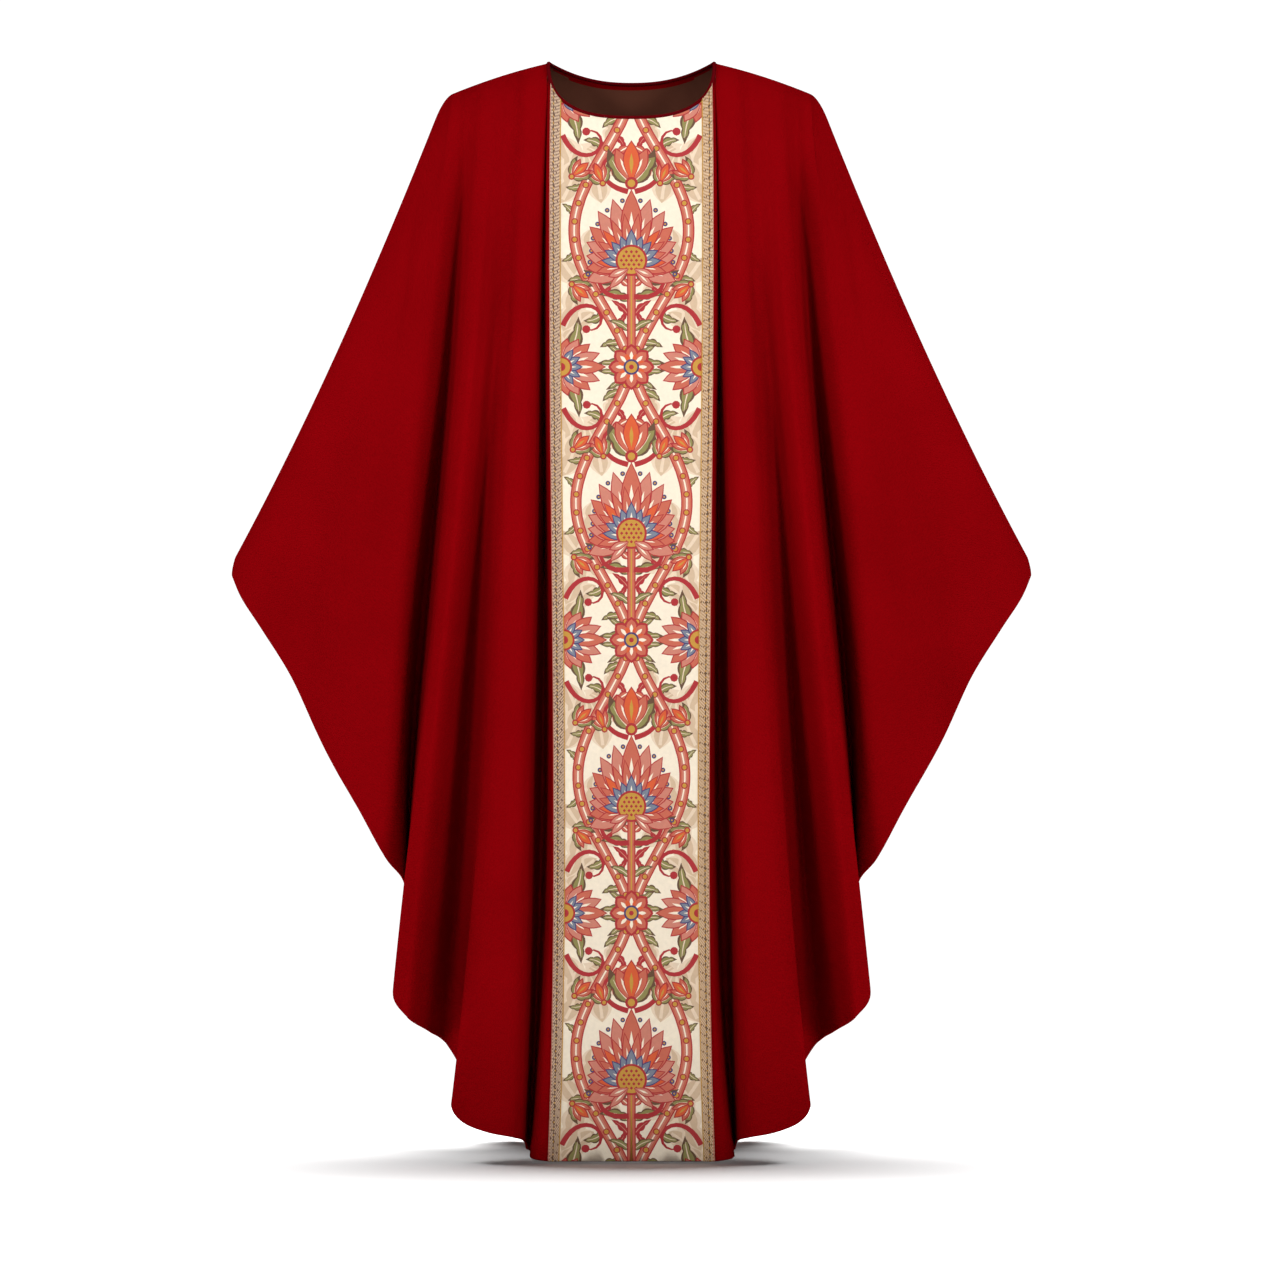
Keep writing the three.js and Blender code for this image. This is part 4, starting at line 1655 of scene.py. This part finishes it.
@dataclass
class Orphrey:
    """The brocade band down the middle of the front."""

    panel: Panel
    pattern: OgeeBrocade = field(default_factory=OgeeBrocade)
    half_width: float = 96.6
    bottom: float = 1329.6
    start: float = 40.0
    lift: float = 1.7
    thickness: float = 1.2
    facet: float = 11.0
    slack: float = 0.22
    rim_corners: int = 61
    side_start: float = 40.0
    margins: tuple[float, float] = (6.0, 5.0)
    grid_shift: Point = (0.37, 0.21)
    weld: float = 1e-3
    underside_weld: float = 1e-6

    def simplified(self, outline: Array) -> Array:
        """Leaves out the corners of a closed shape that hardly bend its outline.

        Args:
            outline: Its corners.

        Returns:
            The corners that are kept.
        """
        kept = [0]
        for index in range(1, len(outline) - 1):
            start = outline[kept[-1]]
            chord = outline[index + 1] - start
            skipped = outline[kept[-1] + 1:index + 1] - start
            length = max(float(np.hypot(*chord)), TINY)
            off = np.abs(chord[0] * skipped[:, 1] - chord[1] * skipped[:, 0]) / length
            if off.max() > self.slack:
                kept.append(index)
        return outline[kept + [len(outline) - 1]]

    def outline(self) -> Array:
        """The band's own outline: the neck edge, the two sides and the hem.

        Returns:
            Its corners, one to a row, as distances from the middle and below the neck.
        """
        across = np.linspace(-self.half_width, self.half_width, self.rim_corners)
        rim = np.stack([across, -self.panel.rim_height(across)], axis=-1)
        side = np.arange(self.bottom, self.side_start, -self.facet)
        right = np.stack([np.full(len(side), self.half_width), side[::-1]], axis=-1)
        foot = np.arange(self.half_width - self.facet, -self.half_width + 1.0, -self.facet)
        hem = np.stack([foot, np.full(len(foot), self.bottom)], axis=-1)
        left = np.stack([np.full(len(side), -self.half_width), side], axis=-1)
        return np.concatenate([rim, right, hem, left])

    def mesh_plan(self) -> tuple[Array, Array, Array]:
        """Divides the band into triangles that follow the drawing's outlines.

        Returns:
            Flat points, triangles and the linear colour of each triangle.
        """
        drawn = self.pattern.draw(self.start, self.bottom).shapes
        shapes = [(self.outline(), Thread.CREAM)]
        shapes += [(self.simplified(shape), thread) for shape, thread in drawn]
        points: list[Vector] = []
        faces: list[list[int]] = []
        for outline, _ in shapes:
            ordered = outline if winds_forward(outline) else outline[::-1]
            faces.append(list(range(len(points), len(points) + len(ordered))))
            points.extend(Vector((float(x), float(z))) for x, z in ordered)
        points.extend(self.inner_points())
        flat, _, triangles, _, _, owners = delaunay_2d_cdt(points, [], faces, INSIDE, self.weld, True)
        kept, colours = [], []
        for triangle, owner in zip(triangles, owners):
            if 0 in owner:
                kept.append(list(triangle))
                colours.append(srgb(*shapes[max(owner)][1].value))
        return np.array([[p.x, p.y] for p in flat]), np.array(kept), np.array(colours)

    def inner_points(self) -> list[Vector]:
        """Points spread over the band, so that its surface follows the cloth.

        Returns:
            The points.
        """
        near, far = self.margins
        return [Vector((float(x) + self.grid_shift[0], float(z) + self.grid_shift[1]))
                for x in np.arange(-self.half_width + near, self.half_width - far, self.facet)
                for z in np.arange(near, self.bottom - far, self.facet)]

    def laid(self, flat: Array) -> tuple[Array, Array]:
        """Lays flat points on the front panel.

        Args:
            flat: Distances from the middle and below the neck.

        Returns:
            Points and normals.
        """
        places = self.panel.place_of_top(flat[:, 0])
        return self.panel.surface(places, np.clip(self.panel.down_of_height(places, -flat[:, 1]), 0.0, 1.0))

    def outward(self, points: Array, normals: Array, triangles: Array) -> Array:
        """Turns triangles so that they all face outwards.

        Args:
            points: Points.
            normals: Their normals.
            triangles: Triangles.

        Returns:
            The turned triangles.
        """
        corner = points[triangles]
        facing = np.cross(corner[:, 1] - corner[:, 0], corner[:, 2] - corner[:, 0])
        outward = np.sum(facing * normals[triangles[:, 0]], axis=1) > 0
        return np.where(outward[:, None], triangles, triangles[:, ::-1])

    def underside(self, flat: Array, border: Array) -> tuple[Array, Array]:
        """Divides the plain underside into large triangles that end on the upper side's border.

        Args:
            flat: The upper side's flat points.
            border: The edges of its border, each as the numbers of two points.

        Returns:
            Flat points and triangles. The first points are the upper side's border points in order.
        """
        rim = np.unique(border)
        following = dict(np.searchsorted(rim, border).tolist())
        loop = [0]
        while following[loop[-1]] != 0:
            loop.append(following[loop[-1]])
        points = [Vector((float(x), float(z))) for x, z in flat[rim]]
        corners = flat[rim][loop]
        face = loop if winds_forward(corners) else loop[::-1]
        points += self.inner_points()
        found, _, triangles, _, _, owners = delaunay_2d_cdt(
            points, [], [face], INSIDE, self.underside_weld, True)
        inside = [list(each) for each, owner in zip(triangles, owners) if 0 in owner]
        return np.array([[p.x, p.y] for p in found]), np.array(inside)

    def build(self, finishes: Finishes) -> bpy.types.Object:
        """Builds and dresses the band.

        Args:
            finishes: The garment's materials.

        Returns:
            The piece.
        """
        flat, triangles, colours = self.mesh_plan()
        used = np.unique(triangles)
        renumbered = np.full(len(flat), -1)
        renumbered[used] = np.arange(len(used))
        flat, triangles = flat[used], renumbered[triangles]
        points, normals = self.laid(flat)
        triangles = self.outward(points, normals, triangles)
        edges = np.concatenate([triangles[:, [0, 1]], triangles[:, [1, 2]], triangles[:, [2, 0]]])
        known = {(int(a), int(b)) for a, b in edges}
        border = np.array(sorted((a, b) for a, b in known if (b, a) not in known))
        under_flat, under = self.underside(flat, border)
        under_points, under_normals = self.laid(under_flat)
        under = self.outward(under_points, under_normals, under)
        draft = MeshDraft()
        first = draft.add_points(points + normals * self.lift, flat)
        second = draft.add_points(under_points + under_normals * (self.lift - self.thickness), under_flat)
        draft.add_faces(first + triangles, colours=colours)
        beige = srgb(*Thread.BEIGE.value)
        draft.add_faces(second + under[:, ::-1], colours=np.tile(beige, (len(under), 1)))
        below = np.searchsorted(np.unique(border), border)
        walls = np.stack([first + border[:, 1], first + border[:, 0], second + below[:, 0],
                          second + below[:, 1]], axis=-1)
        draft.add_faces(walls, colours=np.tile(beige, (len(walls), 1)))
        LOG.info("orphrey: %d triangles above, %d below", len(triangles), len(under))
        piece = draft.finish("orphrey_brocade", [finishes.brocade], figured=True)
        dress(piece, "orphrey")
        return piece


@dataclass
class Galloon:
    """A narrow braid over one long edge of the orphrey."""

    panel: Panel
    side: int
    name: str
    node: str
    base: Thread
    inner: float = 84.0
    outer: float = 97.4
    lift: float = 1.9
    pitch: float = 2.0
    bottom: float = 1330.0
    dash_every: int = 4
    ripple: float = 0.12
    ripple_pitch: float = 4.0
    rippled_above: float = 0.5

    def section(self) -> tuple[Array, Array, list[Thread]]:
        """Cross-section of the braid.

        Returns:
            Shares of the way from the inner edge, heights, and the thread of each strip between them.
        """
        share = np.array([0.0, 0.03, 0.09, 0.15, 0.25, 0.35, 0.45, 0.54,
                          0.62, 0.72, 0.79, 0.86, 0.93, 0.98, 1.0])
        height = np.array([0.1, 0.7, 0.95, 0.75, 0.82, 0.75, 0.82, 0.8,
                           1.05, 1.05, 0.8, 0.75, 1.1, 0.9, 0.1])
        body = self.base
        threads = [Thread.GOLD, Thread.GOLD, body, body, body, body, body, body, Thread.BROWN, body, body,
                   body, Thread.ROSE, body]
        return share, height, threads

    def build(self, finishes: Finishes) -> bpy.types.Object:
        """Builds and dresses the braid.

        Args:
            finishes: The garment's materials.

        Returns:
            The piece.
        """
        share, height, threads = self.section()
        tops = self.side * (self.inner + (self.outer - self.inner) * share)
        if self.side < 0:
            tops, height, threads = tops[::-1], height[::-1], threads[::-1]
        places = self.panel.place_of_top(tops)
        start = self.panel.down_at_rim(places)
        rows = round(self.bottom / self.pitch)
        along = np.linspace(0.0, 1.0, rows + 1)
        downs = start[:, None] + (1.0 - start)[:, None] * along[None, :]
        grid = np.repeat(places[:, None], rows + 1, axis=1)
        points, normals = self.panel.surface(grid, downs)
        rippled = (height > self.rippled_above)[:, None]
        turns = along * self.bottom * 2.0 * np.pi / self.ripple_pitch
        ripple = self.ripple * np.sin(turns)[None, :] * rippled
        raised = self.lift + height[:, None] + ripple
        flat = np.stack(np.broadcast_arrays(np.abs(tops)[:, None], along[None, :] * self.bottom), axis=-1)
        draft = MeshDraft()
        columns = len(tops)
        first = draft.add_points(points + normals * raised[..., None], flat)
        second = draft.add_points(points + normals * self.lift, flat)
        colours = np.array([[srgb(*self.thread_at(threads[i], i, j).value) for j in range(rows)]
                            for i in range(columns - 1)]).reshape(-1, 4)
        draft.add_faces(grid_quads(first, columns, rows + 1), colours=colours)
        draft.add_faces(grid_quads(second, columns, rows + 1, flipped=True), colours=colours)
        for walls in edge_walls(first, second, columns, rows + 1):
            draft.add_faces(walls, colours=np.tile(srgb(*Thread.TAN.value), (len(walls), 1)))
        piece = draft.finish(self.name, [finishes.galloon], figured=True)
        dress(piece, self.node)
        return piece

    def thread_at(self, thread: Thread, strip: int, row: int) -> Thread:
        """Thread of one face: gold between the brown dashes, and a speckle of brown and beige on the body.

        Args:
            thread: The strip's thread.
            strip: Number of the strip.
            row: Number of the face along the braid.

        Returns:
            The thread that shows.
        """
        if thread is Thread.BROWN and row % self.dash_every == 0:
            return Thread.GOLD
        if thread is self.base and (row * 5 + strip * 3) % 11 == 0:
            return Thread.BROWN
        if thread is self.base and (row + strip) % 2 == 0:
            return Thread.BEIGE
        return thread


@dataclass
class NeckBinding:
    """The binding folded over the neck edge: wide over the front's layers, narrow over the back."""

    front: Panel
    back: Panel
    half_width: float = 2.4
    over_edge: float = 0.5
    front_lift: float = 0.7
    back_lift: float = -0.5
    front_half_depth: float = 2.2
    back_half_depth: float = 1.5
    stations: int = 120
    corners: int = 14
    front_to_back: tuple[float, float] = (-30.0, 25.0)
    evening_rounds: int = 6
    halvings: int = 50

    def rim(self, panel: Panel) -> tuple[Array, Array]:
        """Neck edge of a panel, from one shoulder to the other.

        Args:
            panel: The panel.

        Returns:
            Points and normals.
        """
        angle = np.linspace(-np.pi / 2, np.pi / 2, self.stations)[1:-1] * -panel.facing.value
        x = panel.ridge.neck_half_width * np.sin(angle)
        z = panel.rim_height(x)
        sign = float(-panel.facing.value)
        low = np.zeros_like(x)
        high = np.full_like(x, panel.count - 1.0)
        for _ in range(self.halvings):
            middle = (low + high) / 2.0
            downs = panel.down_of_height(middle, z)
            reached, _ = panel.front_view(panel.columns(middle), downs)
            short = (x - reached) * sign > 0
            low = np.where(short, middle, low)
            high = np.where(short, high, middle)
        downs = np.maximum(panel.down_of_height(low, z), 0.0)
        return panel.base(low, downs), panel.normals(low, downs)

    def build(self, finishes: Finishes) -> bpy.types.Object:
        """Builds and dresses the binding.

        Args:
            finishes: The garment's materials.

        Returns:
            The piece.
        """
        ridge = self.front.ridge
        front_points, front_normals = self.rim(self.front)
        back_points, back_normals = self.rim(self.back)
        corner = [np.array([[side * ridge.neck_half_width, ridge.depth_at_neck, 0.0]]) for side in (1, -1)]
        upright = [np.array([[-side * ridge.shoulder.slope, 0.0, 1.0]]) for side in (1, -1)]
        points = np.concatenate([front_points, corner[0], back_points, corner[1]])
        normals = np.concatenate([front_normals, upright[0], back_normals, upright[1]])
        for _ in range(self.evening_rounds):
            normals = unit(normals + 0.5 * (np.roll(normals, 1, axis=0) + np.roll(normals, -1, axis=0)))
        along = unit(np.roll(points, -1, axis=0) - np.roll(points, 1, axis=0))
        into_neck = unit(np.cross(normals, along))
        out = np.cross(along, into_neck)
        behind = smooth(*self.front_to_back, points[:, 1])
        lift = self.front_lift + (self.back_lift - self.front_lift) * behind
        depth = self.front_half_depth + (self.back_half_depth - self.front_half_depth) * behind
        centre = points + into_neck * self.over_edge + out * lift[:, None]
        angle = np.arange(self.corners) * 2.0 * np.pi / self.corners
        ring = (centre[:, None, :] + self.half_width * into_neck[:, None, :] * np.cos(angle)[None, :, None]
                + depth[:, None, None] * out[:, None, :] * np.sin(angle)[None, :, None])
        count = len(points)
        length = np.cumsum(np.linalg.norm(np.roll(points, 1, axis=0) - points, axis=1))
        around = np.arange(self.corners) * self.half_width * 2.0 * np.pi / self.corners
        flat = np.stack(np.broadcast_arrays(around[None, :], length[:, None]), axis=-1)
        draft = MeshDraft()
        draft.add_points(ring, flat)
        i, j = np.meshgrid(np.arange(count), np.arange(self.corners), indexing="ij")
        here = i * self.corners + j
        turned = i * self.corners + (j + 1) % self.corners
        ahead = ((i + 1) % count) * self.corners + j
        both = ((i + 1) % count) * self.corners + (j + 1) % self.corners
        draft.add_faces(np.stack([here, turned, both, ahead], axis=-1).reshape(-1, 4))
        piece = draft.finish("neck_piping", [finishes.binding])
        dress(piece, "neck_binding")
        return piece


# ---------------------------------------------------------------- studio


@dataclass(frozen=True)
class Lamp:
    """A soft area lamp: where it stands and looks, its size, its power in watts and its spread."""

    name: str
    place: Place
    target: Place
    size: tuple[float, float]
    power: float
    spread: float = 180.0

    def build(self, lit: list[bpy.types.Object]) -> None:
        """Adds the lamp.

        Args:
            lit: What it lights.
        """
        data = bpy.data.lights.new(self.name, "AREA")
        data.shape = "RECTANGLE"
        data.size, data.size_y = self.size
        data.energy = self.power
        data.spread = math.radians(self.spread)
        lamp = bpy.data.objects.new(self.name, data)
        lamp.location = self.place
        lamp.rotation_euler = (Vector(self.target) - Vector(self.place)).to_track_quat("-Z", "Y").to_euler()
        receivers = bpy.data.collections.new(f"lit by {self.name}")
        for each in lit:
            receivers.objects.link(each)
        lamp.light_linking.receiver_collection = receivers
        bpy.context.scene.collection.objects.link(lamp)


GARMENT_LAMPS = (
    Lamp("soft left", (-2.3, -1.1, 1.1), (0.0, 0.0, -0.3), (0.8, 0.9), 4.7, 80.0),
    Lamp("front left", (-1.5, -2.1, 0.6), (0.0, 0.0, -0.45), (0.5, 0.6), 4.6, 65.0),
    Lamp("soft right", (2.3, -1.1, 1.1), (0.0, 0.0, -0.3), (0.8, 0.9), 4.7, 80.0),
    Lamp("front right", (1.5, -2.1, 0.6), (0.0, 0.0, -0.45), (0.5, 0.6), 4.6, 65.0),
    Lamp("behind", (0.0, 3.4, 1.6), (0.0, 0.0, -0.6), (2.4, 1.2), 46.0),
    Lamp("overhead", (0.0, -0.5, 2.6), (0.0, 0.0, -0.2), (1.6, 0.6), 20.0),
)
FLOOR_LAMP = Lamp("above", (0.0, 1.5, 4.2), (0.0, 1.6, -0.2), (9.0, 2.2), 1200.0)


@dataclass
class Studio:
    """Floor, light and camera."""

    middle_height: float = -0.700
    picture_height: float = 1.5505
    reference_depth: float = -0.04
    distance: float = 40.0
    middle_x: float = 0.0104
    sensor: float = 36.0
    floor_below_hem: float = 0.004
    floor_reach: float = 3.5
    floor_near: float = -1.3
    floor_far: float = 3.0
    lean_in_front: float = 6.0
    lean_beneath: float = 4.5
    sky_light: float = 0.02
    sky_seen: float = 1.1
    sight: float = 100.0

    def floor(self, finishes: Finishes) -> bpy.types.Object:
        """Lays a wide pale floor that leans a little to the camera under the garment and in front of it.

        Args:
            finishes: The materials.

        Returns:
            The floor.
        """
        front, back = CAD_BOX[0][1], CAD_BOX[1][1]
        level = CAD_BOX[0][2] - self.floor_below_hem
        behind = level + (back - front) * math.tan(math.radians(self.lean_beneath))
        near = self.floor_near
        lowest = level + (near - front) * math.tan(math.radians(self.lean_in_front))
        profile = [(near, lowest), (front, level), (back, behind), (self.floor_far, behind)]
        points = [(x, y, z) for y, z in profile for x in (-self.floor_reach, self.floor_reach)]
        faces = [(2 * i, 2 * i + 1, 2 * i + 3, 2 * i + 2) for i in range(len(profile) - 1)]
        mesh = bpy.data.meshes.new("floor")
        mesh.from_pydata(points, [], faces)
        mesh.polygons.foreach_set("use_smooth", [True] * len(faces))
        mesh.materials.append(finishes.studio)
        floor = bpy.data.objects.new("floor", mesh)
        bpy.context.scene.collection.objects.link(floor)
        floor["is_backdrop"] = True
        return floor

    def lights(self, pieces: list[bpy.types.Object], floor: bpy.types.Object) -> None:
        """Lights the garment and the floor with lamps of their own, under a pale sky.

        Args:
            pieces: The garment's pieces.
            floor: The floor.
        """
        for lamp in GARMENT_LAMPS:
            lamp.build(pieces)
        FLOOR_LAMP.build([floor])
        world = bpy.data.worlds.new("studio")
        world.use_nodes = True
        sky = next(n for n in world.node_tree.nodes if n.type == "BACKGROUND")
        sky.inputs[0].default_value = WHITE
        seen = world.node_tree.nodes.new("ShaderNodeLightPath")
        strength = world.node_tree.nodes.new("ShaderNodeMapRange")
        strength.inputs["To Min"].default_value = self.sky_light
        strength.inputs["To Max"].default_value = self.sky_seen
        world.node_tree.links.new(seen.outputs["Is Camera Ray"], strength.inputs["Value"])
        world.node_tree.links.new(strength.outputs["Result"], sky.inputs["Strength"])
        bpy.context.scene.world = world
        bpy.context.scene.view_settings.view_transform = "Standard"

    def camera(self) -> None:
        """Sets a long-lens camera straight in front, level with the garment's middle."""
        data = bpy.data.cameras.new("camera")
        data.sensor_fit = "HORIZONTAL"
        data.sensor_width = self.sensor
        data.lens = self.sensor * self.distance / self.picture_height
        data.clip_end = self.sight
        camera = bpy.data.objects.new("camera", data)
        camera.location = (self.middle_x, self.reference_depth - self.distance, self.middle_height)
        camera.rotation_euler = (math.pi / 2, 0.0, 0.0)
        bpy.context.scene.collection.objects.link(camera)
        bpy.context.scene.camera = camera


@dataclass
class Garment:
    """The whole chasuble."""

    front: Panel = field(default_factory=lambda: Panel(
        Facing.FRONT, Body(chest=118, hem=150, side=48, over_shoulder=190, over_arm=52),
        NeckEdge(drop=69.0, spread=2.6, steepness=2.6), FRONT_LINES, FRONT_CREASES))
    back: Panel = field(default_factory=lambda: Panel(
        Facing.BACK, Body(chest=104, hem=128, side=46, over_shoulder=175, over_arm=50),
        NeckEdge(drop=25.5, spread=2.3, steepness=1.0), BACK_LINES, BACK_CREASES))

    def build(self, finishes: Finishes) -> list[bpy.types.Object]:
        """Args:
            finishes: The garment's materials.

        Returns:
            The pieces.
        """
        front = ClothShell(self.front, "front_cloth", "front").build(finishes)
        back = ClothShell(self.back, "back_cloth", "back").build(finishes)
        orphrey = Orphrey(self.front).build(finishes)
        left = Galloon(self.front, -1, "left_braid", "galloon_left", Thread.MAUVE).build(finishes)
        right = Galloon(self.front, 1, "right_braid", "galloon_right", Thread.TAN).build(finishes)
        binding = NeckBinding(self.front, self.back).build(finishes)
        return [front, back, orphrey, left, right, binding]


def main() -> None:
    """Builds the scene."""
    logging.basicConfig(level=logging.INFO, format="%(name)s: %(message)s")
    finishes = Finishes()
    studio = Studio()
    studio.camera()
    pieces = Garment().build(finishes)
    studio.lights(pieces, studio.floor(finishes))
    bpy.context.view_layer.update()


if __name__ == "__main__":
    main()
